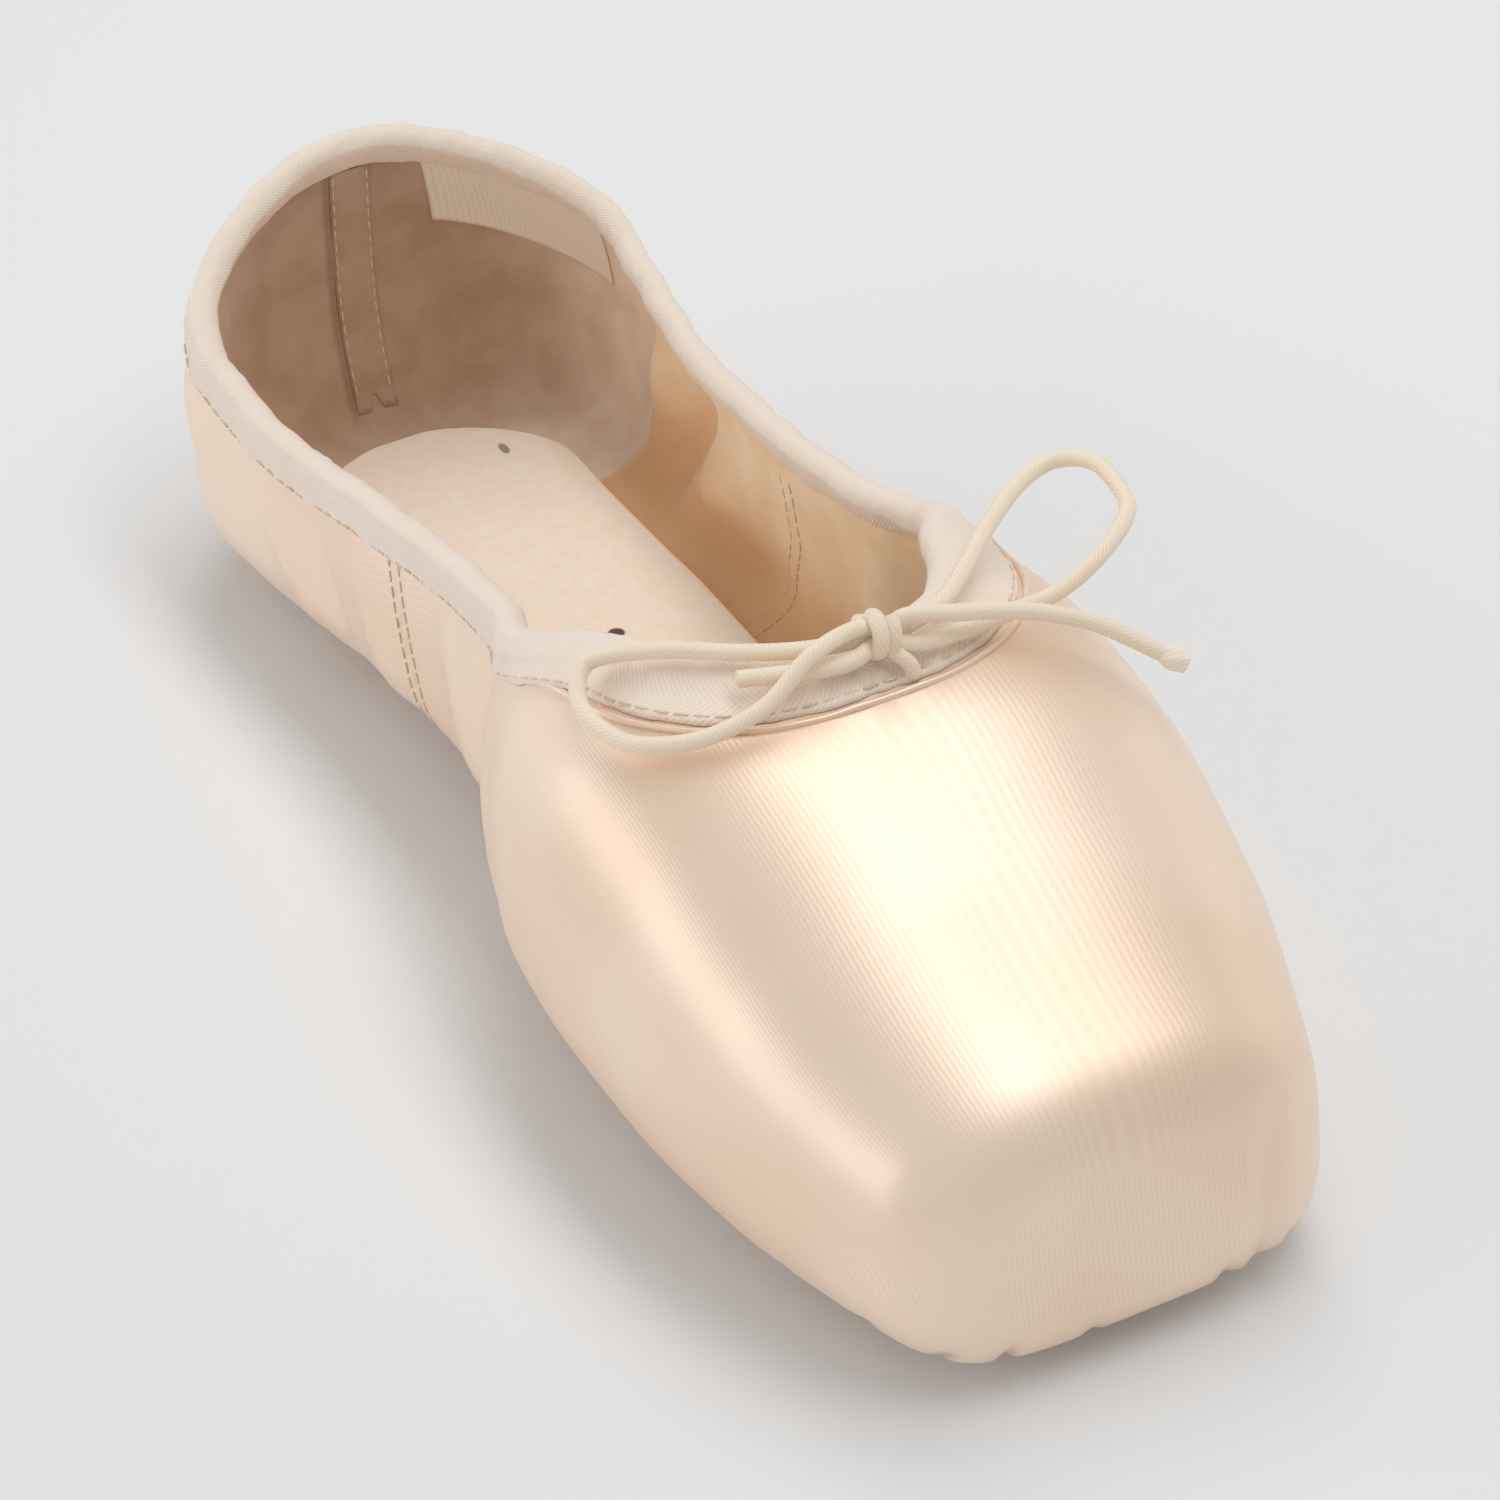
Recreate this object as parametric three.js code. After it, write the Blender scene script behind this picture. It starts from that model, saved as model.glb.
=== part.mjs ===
// A pointe shoe on a straight last, which fits either foot, standing empty on its sole.
// Millimetres. +X points to the toe, +Y to the wearer's left and +Z up. The origin is on the
// floor, under the middle of the shoe's box.
import * as THREE from "three";
import { mergeVertices } from "three/addons/utils/BufferGeometryUtils.js";

// ---- driving sizes -------------------------------------------------------------------------
const HALF_LENGTH = 118.5; // heel to platform is twice this
const HEEL_RADIUS = 32; // the heel's round end, seen from above
const HEEL_UNDER = 8; // rounding between the heel's back and its underside
const PLATFORM_EDGE = 9; // rounding round the top and sides of the flat toe platform
const PLATFORM_UNDER = 4.5; // rounding under it
const HEEL_LEAN = { high: 5, low: 5, level: 26 }; // how far the heel's back leans in, above and below its level
const PLATFORM_LEAN = { slope: 0.12, level: 8.7 }; // the platform's top leans back above its lowest edge
const GAP = 0.3; // between neighbouring pieces
const SOLE_GAP = 0.45; // between the upper's curved underside and the soles

// The last, one row per section: half its greatest width and the height of that width, the
// height of its top (carried on over the opening) and of its underside, and how square its
// upper and lower corners are (2 is an ellipse).
const LAST = [
  { x: -118, wide: 36, level: 24, top: 69, under: 2.7, above: 2.1, below: 4 },
  { x: -100, wide: 37.5, level: 24, top: 68, under: 2.7, above: 2.1, below: 4 },
  { x: -80, wide: 35.5, level: 23, top: 65, under: 2.7, above: 2.0, below: 4 },
  { x: -58, wide: 32.5, level: 21, top: 65, under: 4.0, above: 2.0, below: 3.6 },
  { x: -38, wide: 30, level: 20, top: 76, under: 5.2, above: 2.1, below: 3.2 },
  { x: -18, wide: 28.5, level: 20, top: 84, under: 5.4, above: 2.2, below: 3.2 },
  { x: 0, wide: 30.5, level: 20, top: 73, under: 4.3, above: 2.2, below: 3.4 },
  { x: 12, wide: 36, level: 20, top: 64.5, under: 3.2, above: 2.4, below: 4 },
  { x: 26, wide: 40, level: 21, top: 61.5, under: 2.7, above: 2.8, below: 4 },
  { x: 44, wide: 41.5, level: 22, top: 60, under: 2.7, above: 3.2, below: 4 },
  { x: 62, wide: 41, level: 21, top: 57, under: 2.7, above: 3.2, below: 4 },
  { x: 82, wide: 38.5, level: 20, top: 49.5, under: 2.9, above: 3.0, below: 4 },
  { x: 102, wide: 33, level: 18, top: 41.5, under: 3.6, above: 3.0, below: 4 },
  { x: 118, wide: 27, level: 17, top: 37, under: 4.2, above: 3.2, below: 4 },
];

// The collar's edge: its height along the quarters, and the round throat seen from above.
const COLLAR = [
  { x: -118, height: 54.5 },
  { x: -100, height: 45.2 },
  { x: -80, height: 39 },
  { x: -65, height: 37.5 },
  { x: -40, height: 40.5 },
  { x: -10, height: 45.5 },
  { x: 12, height: 49.5 },
  { x: 30, height: 54 },
];
const WINGS = { from: -8, to: 30 }; // where the soft quarters widen into the stiff box
const THROAT = { front: 47.5, back: -40, half: 28, square: 3.4 };
const COLLAR_BLEND = { from: 6, to: 34 }; // where the quarters' line passes into the throat's

// The sole's half width along the shoe, between two round ends.
const OUTSOLE = [
  { x: -108, half: 20 },
  { x: -90, half: 21.5 },
  { x: -60, half: 20 },
  { x: -25, half: 16.5 },
  { x: 5, half: 20.5 },
  { x: 35, half: 25 },
  { x: 65, half: 24.5 },
  { x: 98, half: 19 },
];
const OUTSOLE_END = 17; // length of each round end
const SOLE_MARGIN = 5; // the upper is lasted this far under the sole
const ARCH = { from: -75, to: 15, rise: 2.6 };
const TOE_SPRING = { from: 72, to: 98, rise: 0.9 };

const INSOLE = [
  { x: -106, half: 20 },
  { x: -85, half: 21.5 },
  { x: -50, half: 21 },
  { x: -15, half: 20.5 },
  { x: 10, half: 21.5 },
  { x: 45, half: 29 },
  { x: 75, half: 27 },
  { x: 98, half: 21 },
];
const INSOLE_END = 19;
const INSOLE_THICK = 2;

const QUARTER_WALL = 1.5; // satin, canvas and lining
const BOX_WALL = 3; // pasted layers of the stiff toe box
const BOX = { from: 4, to: 30 }; // where the wall thickens

// The binding's legs outside (longer round the throat) and inside, where both start below the
// edge, their thickness, and the roll's above the edge.
const BINDING = { outside: 5, throat: 8.5, inside: 3.5, start: 1.8, skin: 1.0, roll: 1.3, clear: 0.6 };
const THROAT_LEG = { from: 14, to: 40 }; // where the outer leg grows to its length at the throat

// The drawstring: a bow of round elastic cord, each strand a line from the knot outwards.
const CORD = { thick: 2.2, sides: 8, step: 5 };
const KNOT = { at: [52, 2.5, 64.5], half: [3, 3.2, 2.7] };
const BOW = {
  drawstring_loop_left: [
    [51.6, -1.4, 65.3], [54, -8, 65.4], [55.4, -15, 61.5], [54.4, -23, 59.2], [50, -29.5, 58],
    [44, -32, 57.8], [38, -32, 58.2], [34.5, -29.5, 60.2], [36, -26, 61.6], [40.5, -20.5, 63],
    [45.5, -14, 63.2], [49, -7.5, 63.2], [50.4, -1.6, 63],
  ],
  drawstring_loop_right: [
    [51.4, 6.6, 63.2], [49, 13, 63.2], [44, 19, 63.3], [38.5, 25, 63.8], [33, 32.5, 64.4],
    [31.4, 38.5, 65.2], [35, 42.2, 66], [41, 42.4, 66], [47, 40.5, 65.5], [51.5, 34, 64],
    [53.2, 27, 62], [53, 20, 61.2], [53.4, 13.5, 61.2], [54.2, 7, 62.2],
  ],
  drawstring_end_long: [
    [53, 6.5, 65.8], [55, 12.5, 65.2], [56.6, 18, 64.4], [58, 23, 63], [60, 28, 61], [62.5, 32, 58.6],
    [65.5, 36, 56],
  ],
  drawstring_end_short: [[53.6, -1.5, 62.6], [53.6, -5, 62.5], [52, -10, 62.5], [50, -16, 62.7]],
};

// How finely each surface is divided.
const STEPS = {
  heel: 9, quarters: 10, wings: 9, throat: 8, vamp: 10, toe: 5, // sections along the upper
  round: 15, // points round half a section
  collar: 40, // along half of the binding
  plate: 30, // along a sole
  across: 5, // across a sole
};

const COLOURS = {
  satin: 0xe9c9ad,
  twill: 0xe6cbb8,
  leather: 0xa9794f,
  insole: 0xe8c8a4,
  cord: 0xe8c9a6,
};

// ---- helpers -------------------------------------------------------------------------------
const clamp01 = (t) => Math.min(1, Math.max(0, t));
const ease = (from, to, x) => {
  const t = clamp01((x - from) / (to - from));
  return t * t * (3 - 2 * t);
};

// A column of a table read at x, on a smooth curve that never overshoots its rows.
function read(table, column, x) {
  const last = table.length - 1;
  const slope = (i) => (table[i + 1][column] - table[i][column]) / (table[i + 1].x - table[i].x);
  const bend = (i) => {
    if (i === 0) return slope(0);
    if (i === last) return slope(last - 1);
    const [a, b] = [slope(i - 1), slope(i)];
    return a * b <= 0 ? 0 : (2 * a * b) / (a + b);
  };
  let i = 0;
  while (i < last - 1 && x > table[i + 1].x) i += 1;
  const step = table[i + 1].x - table[i].x;
  const t = clamp01((x - table[i].x) / step);
  return (
    (1 + 2 * t) * (1 - t) ** 2 * table[i][column] +
    t * (1 - t) ** 2 * step * bend(i) +
    t * t * (3 - 2 * t) * table[i + 1][column] +
    t * t * (t - 1) * step * bend(i + 1)
  );
}

// How far a quarter-round edge of this radius has drawn in at a distance from the end.
const roundIn = (radius, distance) =>
  distance >= radius ? 0 : radius - Math.sqrt(radius ** 2 - (radius - Math.max(0, distance)) ** 2);

// ---- the last ------------------------------------------------------------------------------
// The last's measures in the section at x, with its ends rounded off.
function section(x) {
  const m = (column) => read(LAST, column, x);
  const fromHeel = HALF_LENGTH + x;
  const toToe = HALF_LENGTH - x;
  const heelPlan = Math.sqrt(1 - (1 - Math.min(1, fromHeel / HEEL_RADIUS)) ** 2);
  return {
    wide: m("wide") * heelPlan - roundIn(PLATFORM_EDGE, toToe),
    level: m("level"),
    top: m("top") - roundIn(PLATFORM_EDGE, toToe),
    under: m("under") + roundIn(HEEL_UNDER, fromHeel) + roundIn(PLATFORM_UNDER, toToe),
    above: m("above"),
    below: m("below"),
  };
}

// A point of the last in the section at x: turn is 0 at the top, a quarter turn at the widest
// and a half turn underneath, on the +Y side.
function lastPoint(x, turn) {
  const s = section(x);
  const up = Math.cos(turn) >= 0;
  const power = 2 / (up ? s.above : s.below);
  const reach = Math.abs(Math.cos(turn)) ** power;
  const y = s.wide * Math.abs(Math.sin(turn)) ** power * Math.sign(Math.sin(turn));
  const z = s.level + (up ? s.top - s.level : s.under - s.level) * reach;
  const heel = clamp01((-60 - x) / 58) ** 2;
  const toe = clamp01((x - 85) / 33) ** 1.5;
  const { high, low, level } = HEEL_LEAN;
  const lean = z > level ? high * ((z - level) / 32) ** 1.5 : low * ((level - z) / 23) ** 2;
  const leanBack = PLATFORM_LEAN.slope * (z - PLATFORM_LEAN.level);
  return new THREE.Vector3(x + heel * lean - toe * leanBack, y, z);
}

// The turn at which the collar's edge crosses the section at x.
function collarTurn(x) {
  const s = section(x);
  const { front, back, half, square } = THROAT;
  const height = read(COLLAR, "height", x);
  const byHeight = Math.acos(clamp01((height - s.level) / (s.top - s.level)) ** (s.above / 2));
  const along = clamp01((x - back) / (front - back));
  const y = half * (1 - along ** square) ** (1 / square);
  const byPlan = Math.asin(Math.min(1, y / Math.max(s.wide, 1)) ** (s.above / 2));
  return THREE.MathUtils.lerp(byHeight, byPlan, ease(COLLAR_BLEND.from, COLLAR_BLEND.to, x));
}

// Half a plate's width at x, drawn in to an ellipse at each end.
function plateHalf(table, end, x, margin = 0) {
  const from = table[0].x + margin;
  const to = table[table.length - 1].x - margin;
  if (x <= from || x >= to) return 0;
  const near = Math.min(1, Math.min(x - from, to - x) / end);
  return Math.max(0, read(table, "half", x) - margin) * Math.sqrt(1 - (1 - near) ** 2);
}

// The turn at which the upper's lasted edge crosses the section at x, under the sole.
function featherTurn(x) {
  const half = plateHalf(OUTSOLE, OUTSOLE_END, x, SOLE_MARGIN);
  if (half <= 0) return Math.PI;
  const s = section(x);
  return Math.PI - Math.asin(Math.min(1, half / s.wide) ** (s.below / 2));
}

// ---- surfaces ------------------------------------------------------------------------------
// A closed or open surface from rows of points, row by row and point by point.
function sheet(rows, closeRows = false) {
  const out = [];
  const rowCount = rows.length - (closeRows ? 0 : 1);
  for (let i = 0; i < rowCount; i += 1) {
    const [a, b] = [rows[i], rows[(i + 1) % rows.length]];
    for (let j = 0; j < a.length - 1; j += 1) out.push([a[j], b[j], b[j + 1]], [a[j], b[j + 1], a[j + 1]]);
  }
  return out;
}

const flipped = (faces) => faces.map(([a, b, c]) => [a, c, b]);
const mirrored = (faces) =>
  faces.map((face) => face.map((p) => new THREE.Vector3(p.x, -p.y, p.z)).reverse());

// Triangles welded into one indexed geometry, without those that have shrunk to a line.
function weld(faces) {
  const same = (p, q) => p.distanceToSquared(q) < 1e-8;
  const real = faces.filter(([a, b, c]) => !same(a, b) && !same(b, c) && !same(c, a));
  const geometry = new THREE.BufferGeometry().setFromPoints(real.flat());
  return mergeVertices(geometry, 1e-3);
}

// An open surface given a wall on its inner side, with the rims closed: a closed solid.
function thicken(surface, wallAt) {
  surface.computeVertexNormals();
  const { position, normal } = surface.attributes;
  const outer = [];
  const inner = [];
  for (let i = 0; i < position.count; i += 1) {
    const p = new THREE.Vector3().fromBufferAttribute(position, i);
    const n = new THREE.Vector3().fromBufferAttribute(normal, i);
    outer.push(p);
    inner.push(p.clone().addScaledVector(n, -wallAt(p)));
  }
  const index = Array.from(surface.index.array);
  const faces = [];
  const edges = new Map();
  for (let i = 0; i < index.length; i += 3) {
    const [a, b, c] = index.slice(i, i + 3);
    faces.push([outer[a], outer[b], outer[c]], [inner[a], inner[c], inner[b]]);
    for (const [from, to] of [[a, b], [b, c], [c, a]]) {
      const back = `${to},${from}`;
      if (edges.has(back)) edges.delete(back);
      else edges.set(`${from},${to}`, [from, to]);
    }
  }
  for (const [from, to] of edges.values()) {
    faces.push([outer[from], inner[from], inner[to]], [outer[from], inner[to], outer[to]]);
  }
  return weld(faces);
}

function piece(name, geometry, colour, roughness) {
  geometry.computeVertexNormals();
  const material = new THREE.MeshStandardMaterial({ color: colour, roughness, metalness: 0 });
  const mesh = new THREE.Mesh(geometry, material);
  mesh.name = name;
  return mesh;
}

// ---- upper ---------------------------------------------------------------------------------
// Sections packed close where the ends and the throat are round.
function stations() {
  const { heel, quarters, wings, throat, vamp, toe } = STEPS;
  const even = (steps) => Array.from({ length: steps }, (_, i) => i / steps);
  const closeFirst = (steps) => even(steps).map((t) => 1 - Math.cos((t * Math.PI) / 2));
  const closeLast = (steps) => even(steps).map((t) => Math.sin((t * Math.PI) / 2));
  const spans = [
    [-HALF_LENGTH, closeFirst(heel)],
    [HEEL_RADIUS - HALF_LENGTH, even(quarters)],
    [WINGS.from, even(wings)],
    [WINGS.to, closeLast(throat)],
    [THROAT.front, even(vamp)],
    [HALF_LENGTH - PLATFORM_EDGE, closeLast(toe)],
    [HALF_LENGTH, []],
  ];
  const inSpan = ([from, steps], i) => steps.map((t) => from + (spans[i + 1][0] - from) * t);
  return [...spans.flatMap(inSpan), HALF_LENGTH];
}

function buildUpper() {
  const rows = stations().map((x) => {
    const from = x < THROAT.front ? collarTurn(x) : 0;
    const to = featherTurn(x);
    return Array.from({ length: STEPS.round + 1 }, (_, j) =>
      lastPoint(x, from + ((to - from) * j) / STEPS.round),
    );
  });
  const side = sheet(rows);
  const rim = rows[rows.length - 1];
  const centre = new THREE.Vector3(rim[0].x, 0, rim[0].z).lerp(rim[STEPS.round], 0.5);
  const platform = rim.slice(1).map((p, j) => [centre, p, rim[j]]);
  const half = [...side, ...platform];
  const outside = weld([...half, ...mirrored(half)]);
  const wallAt = (p) => {
    const boxed = ease(BOX.from, BOX.to, p.x) * ease(6, 12, p.z);
    return THREE.MathUtils.lerp(QUARTER_WALL, BOX_WALL, boxed);
  };
  return piece("upper", thicken(outside, wallAt), COLOURS.satin, 0.4);
}

// ---- collar binding ------------------------------------------------------------------------
// The last's two surface directions at a point, per unit of x and of turn, and its normal.
function frame(x, turn) {
  const d = 0.02;
  const x0 = THREE.MathUtils.clamp(x, -HALF_LENGTH + 2 * d, HALF_LENGTH - 2 * d);
  const t0 = Math.max(turn, 0.01);
  const byX = lastPoint(x0 + d, t0).sub(lastPoint(x0 - d, t0)).divideScalar(2 * d);
  const byTurn = lastPoint(x0, t0 + d / 10).sub(lastPoint(x0, t0 - d / 10)).divideScalar(d / 5);
  return { byX, byTurn, out: byX.clone().cross(byTurn).normalize() };
}

// Walks over the last from a point of the collar's edge, straight away from the opening.
function walk(start, along, distance) {
  const steps = 8;
  let { x, turn } = start;
  let heading = null;
  for (let i = 0; i < steps; i += 1) {
    const { byX, byTurn, out } = frame(x, turn);
    heading = heading ?? out.clone().cross(along);
    heading.projectOnPlane(out).setLength(distance / steps);
    const [a, b, c] = [byX.lengthSq(), byX.dot(byTurn), byTurn.lengthSq()];
    const [p, q] = [byX.dot(heading), byTurn.dot(heading)];
    x += (c * p - b * q) / (a * c - b * b);
    turn += (a * q - b * p) / (a * c - b * b);
  }
  return { x, turn };
}

// Half of the collar's edge, from the heel to the throat, as equal steps.
function collarEdge(steps) {
  const fine = 400;
  const places = Array.from({ length: fine + 1 }, (_, i) => {
    const x = -HALF_LENGTH + ((THROAT.front + HALF_LENGTH) * (1 - Math.cos((Math.PI * i) / fine))) / 2;
    return { x, turn: i === fine ? 0 : collarTurn(x) };
  });
  const points = places.map(({ x, turn }) => lastPoint(x, turn));
  const run = [0];
  for (let i = 1; i <= fine; i += 1) run.push(run[i - 1] + points[i].distanceTo(points[i - 1]));
  return Array.from({ length: steps + 1 }, (_, k) => {
    const want = (run[fine] * k) / steps;
    let i = 0;
    while (i < fine - 1 && run[i + 1] < want) i += 1;
    const t = (want - run[i]) / (run[i + 1] - run[i]);
    const mix = (column) => THREE.MathUtils.lerp(places[i][column], places[i + 1][column], t);
    const along = points[Math.min(fine, i + 2)].clone().sub(points[Math.max(0, i - 2)]);
    if (k === 0 || k === steps) along.set(0, k === 0 ? 1 : -1, 0);
    return { place: { x: mix("x"), turn: mix("turn") }, along: along.normalize() };
  });
}

// The same line walked a distance down the wall, which may depend on x: points of the last
// with their normals.
function collarLine(edge, distance) {
  return edge.map(({ place, along }, k) => {
    const far = typeof distance === "function" ? distance(place.x) : distance;
    const { x, turn } = far > 0 ? walk(place, along, far) : place;
    const point = lastPoint(x, turn);
    const { out } = frame(x, turn);
    if (k === 0 || k === edge.length - 1) {
      point.y = 0;
      out.setY(0).normalize();
    }
    return { point, out };
  });
}

// A puffed roll over the collar's edge with a leg down each side of the wall.
function buildBinding() {
  const { outside, throat, inside, start, skin, roll, clear } = BINDING;
  const leg = (x) => THREE.MathUtils.lerp(outside, throat, ease(THROAT_LEG.from, THROAT_LEG.to, x));
  const wall = (p) => THREE.MathUtils.lerp(QUARTER_WALL, BOX_WALL, ease(BOX.from, BOX.to, p.x));
  const collar = collarEdge(STEPS.collar);
  const [edge, upperLeg, innerFoot, outerFoot] = [0, start, inside, leg].map((d) => collarLine(collar, d));
  const rows = edge.map((e, k) => {
    const up = e.point.clone().sub(upperLeg[k].point).normalize();
    const thick = wall(e.point);
    const at = ({ point, out }, off, lift = 0) =>
      point.clone().addScaledVector(out, off).addScaledVector(up, lift);
    const middle = at(e, -thick / 2);
    const arc = [10, 55, 90, 125, 170].map((angle) => {
      const a = THREE.MathUtils.degToRad(angle);
      const reach = thick / 2 + roll;
      return middle.clone()
        .addScaledVector(e.out, reach * Math.cos(a))
        .addScaledVector(up, reach * Math.sin(a));
    });
    return [
      at(outerFoot[k], clear + skin),
      at(upperLeg[k], clear + skin),
      ...arc,
      at(upperLeg[k], -thick - clear - skin),
      at(innerFoot[k], -thick - clear - skin),
      at(innerFoot[k], -thick - clear),
      at(upperLeg[k], -thick - clear),
      at(e, -thick - clear, clear),
      at(e, clear, clear),
      at(upperLeg[k], clear),
      at(outerFoot[k], clear),
    ];
  });
  const rings = rows.map((row) => [...row, row[0]]);
  const half = flipped(sheet(rings));
  return piece("collar_binding", weld([...half, ...mirrored(half)]), COLOURS.twill, 0.8);
}

// ---- outsole and insole --------------------------------------------------------------------
// The height of the last's underside below a point of the plan.
function underside(x, y) {
  const s = section(x);
  const across = Math.min(0.98, Math.abs(y) / Math.max(s.wide, 1));
  return lastPoint(x, Math.PI - Math.asin(across ** (s.below / 2))).z;
}

// A plate with a rounded outline between two height functions.
function plate(table, end, low, high) {
  const from = table[0].x;
  const to = table[table.length - 1].x;
  const count = STEPS.plate;
  const rows = Array.from({ length: count + 1 }, (_, i) => {
    const x = from + ((to - from) * (1 - Math.cos((Math.PI * i) / count))) / 2;
    const half = i === 0 || i === count ? 0 : plateHalf(table, end, x);
    const across = Array.from({ length: STEPS.across + 1 }, (_, j) => half * (1 - (2 * j) / STEPS.across));
    const top = across.map((y) => new THREE.Vector3(x, y, high(x, y)));
    const bottom = across.map((y) => new THREE.Vector3(x, y, low(x, y))).reverse();
    return [...top, ...bottom, top[0]];
  });
  return weld(flipped(sheet(rows)));
}

// The outsole's lower face: flat at the heel and the ball, raised between them and at the toe.
function tread(x) {
  const t = clamp01((x - ARCH.from) / (ARCH.to - ARCH.from));
  return ARCH.rise * Math.sin(Math.PI * t) ** 2 + TOE_SPRING.rise * ease(TOE_SPRING.from, TOE_SPRING.to, x);
}

function buildOutsole() {
  const shape = plate(OUTSOLE, OUTSOLE_END, tread, (x, y) => underside(x, y) - SOLE_GAP);
  return piece("outsole", shape, COLOURS.leather, 0.85);
}

function buildInsole() {
  const seat = (x, y) => underside(x, y) + QUARTER_WALL + SOLE_GAP;
  const shape = plate(INSOLE, INSOLE_END, seat, (x, y) => seat(x, y) + INSOLE_THICK);
  return piece("insole", shape, COLOURS.insole, 0.9);
}

// ---- drawstring ----------------------------------------------------------------------------
// A round cord along a line of points, closed at both ends.
function buildStrand(name, points) {
  const line = new THREE.CatmullRomCurve3(points.map((p) => new THREE.Vector3(...p)));
  const count = Math.round(line.getLength() / CORD.step);
  const { normals, binormals } = line.computeFrenetFrames(count);
  const rows = normals.map((normal, i) => {
    const centre = line.getPointAt(i / count);
    return Array.from({ length: CORD.sides + 1 }, (_, j) => {
      const angle = (2 * Math.PI * (j % CORD.sides)) / CORD.sides;
      return centre.clone()
        .addScaledVector(normal, (CORD.thick / 2) * Math.cos(angle))
        .addScaledVector(binormals[i], (CORD.thick / 2) * Math.sin(angle));
    });
  });
  const cap = (row, centre) => row.slice(1).map((p, j) => [centre, p, row[j]]);
  const ends = [...cap(rows[0], line.getPointAt(0)), ...flipped(cap(rows[count], line.getPointAt(1)))];
  return piece(name, weld(flipped([...sheet(rows), ...flipped(ends)])), COLOURS.cord, 0.8);
}

function buildKnot() {
  const ball = new THREE.IcosahedronGeometry(1, 2).scale(...KNOT.half).translate(...KNOT.at);
  ball.deleteAttribute("normal").deleteAttribute("uv");
  return piece("drawstring_knot", mergeVertices(ball, 1e-3), COLOURS.cord, 0.8);
}

const shoe = new THREE.Group();
shoe.add(buildUpper(), buildBinding(), buildOutsole(), buildInsole(), buildKnot());
for (const [name, points] of Object.entries(BOW)) shoe.add(buildStrand(name, points));
export default shoe;
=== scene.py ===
"""A pointe shoe of pale satin, standing on a plain floor. Lengths are millimetres, and the
mesh builder turns them into Blender's metres. +X is the toe, +Y the wearer's left, +Z up."""

import math

import bpy
import numpy as np
from mathutils import Matrix, Quaternion, Vector


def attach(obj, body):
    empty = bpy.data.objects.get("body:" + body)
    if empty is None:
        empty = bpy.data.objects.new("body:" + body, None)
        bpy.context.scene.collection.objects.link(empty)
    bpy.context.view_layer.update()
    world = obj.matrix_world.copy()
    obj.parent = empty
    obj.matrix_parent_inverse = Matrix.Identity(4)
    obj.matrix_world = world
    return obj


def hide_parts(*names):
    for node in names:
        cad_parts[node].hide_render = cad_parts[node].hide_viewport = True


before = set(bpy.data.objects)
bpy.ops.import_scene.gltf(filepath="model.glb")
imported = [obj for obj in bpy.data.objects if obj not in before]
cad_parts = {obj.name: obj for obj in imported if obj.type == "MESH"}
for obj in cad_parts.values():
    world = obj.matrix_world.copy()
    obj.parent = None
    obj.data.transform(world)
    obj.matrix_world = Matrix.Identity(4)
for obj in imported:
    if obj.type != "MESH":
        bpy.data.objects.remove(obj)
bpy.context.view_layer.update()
MM = 0.001

# ---- camera --------------------------------------------------------------------------------
CAMERA = {"at": (470.2, -204.7, 390.6), "aim": (17, 0, 25), "roll": -4.1, "lens": 112, "sensor": 36}


def place_camera():
    data = bpy.data.cameras.new("camera")
    data.lens = CAMERA["lens"]
    data.sensor_width = CAMERA["sensor"]
    data.clip_start, data.clip_end = 0.01, 20
    camera = bpy.data.objects.new("camera", data)
    at, aim = Vector(CAMERA["at"]) * MM, Vector(CAMERA["aim"]) * MM
    turn = (aim - at).to_track_quat("-Z", "Y") @ Quaternion((0, 0, 1), math.radians(CAMERA["roll"]))
    camera.location = at
    camera.rotation_mode = "QUATERNION"
    camera.rotation_quaternion = turn
    bpy.context.scene.collection.objects.link(camera)
    bpy.context.scene.camera = camera


place_camera()

# ---- sizes ---------------------------------------------------------------------------------
HALF_LENGTH = 118.5
HEEL_RADIUS = 32
HEEL_UNDER = 8
PLATFORM_EDGE = 9
PLATFORM_UNDER = 4.5
# The heel's back leans in by high and low at these distances above and below its fullest level.
HEEL_LEAN = {"level": 26, "high": 5, "above": 32, "low": 5, "beneath": 23, "from": -60, "over": 58}
PLATFORM_LEAN = {"slope": 0.12, "level": 8.7, "from": 85, "over": 33}
SOLE_GAP = 0.3

LAST = {
    "x": (-118, -100, -80, -58, -38, -18, 0, 12, 26, 44, 62, 82, 102, 118),
    "wide": (36, 37.5, 35.5, 32.5, 30, 28.5, 30.5, 36, 40, 41.5, 41, 38.5, 33, 27),
    "level": (24, 24, 23, 21, 20, 20, 20, 20, 21, 22, 21, 20, 18, 17),
    "top": (69, 68, 65, 65, 76, 84, 73, 64.5, 61.5, 60, 57, 49.5, 41.5, 37),
    "under": (2.7, 2.7, 2.7, 4.0, 5.2, 5.4, 4.3, 3.2, 2.7, 2.7, 2.7, 2.9, 3.6, 4.2),
    "above": (2.1, 2.1, 2.0, 2.0, 2.1, 2.2, 2.2, 2.4, 2.8, 3.2, 3.2, 3.0, 3.0, 3.2),
    "below": (4, 4, 4, 3.6, 3.2, 3.2, 3.4, 4, 4, 4, 4, 4, 4, 4),
}
COLLAR = {
    "x": (-118, -100, -80, -65, -40, -10, 12, 30),
    "height": (54.5, 45.2, 39, 37.5, 40.5, 45.5, 49.5, 54),
}
THROAT = {"front": 47.5, "back": -40, "half": 28, "square": 3.4}
COLLAR_BLEND = (6, 34)
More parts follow.
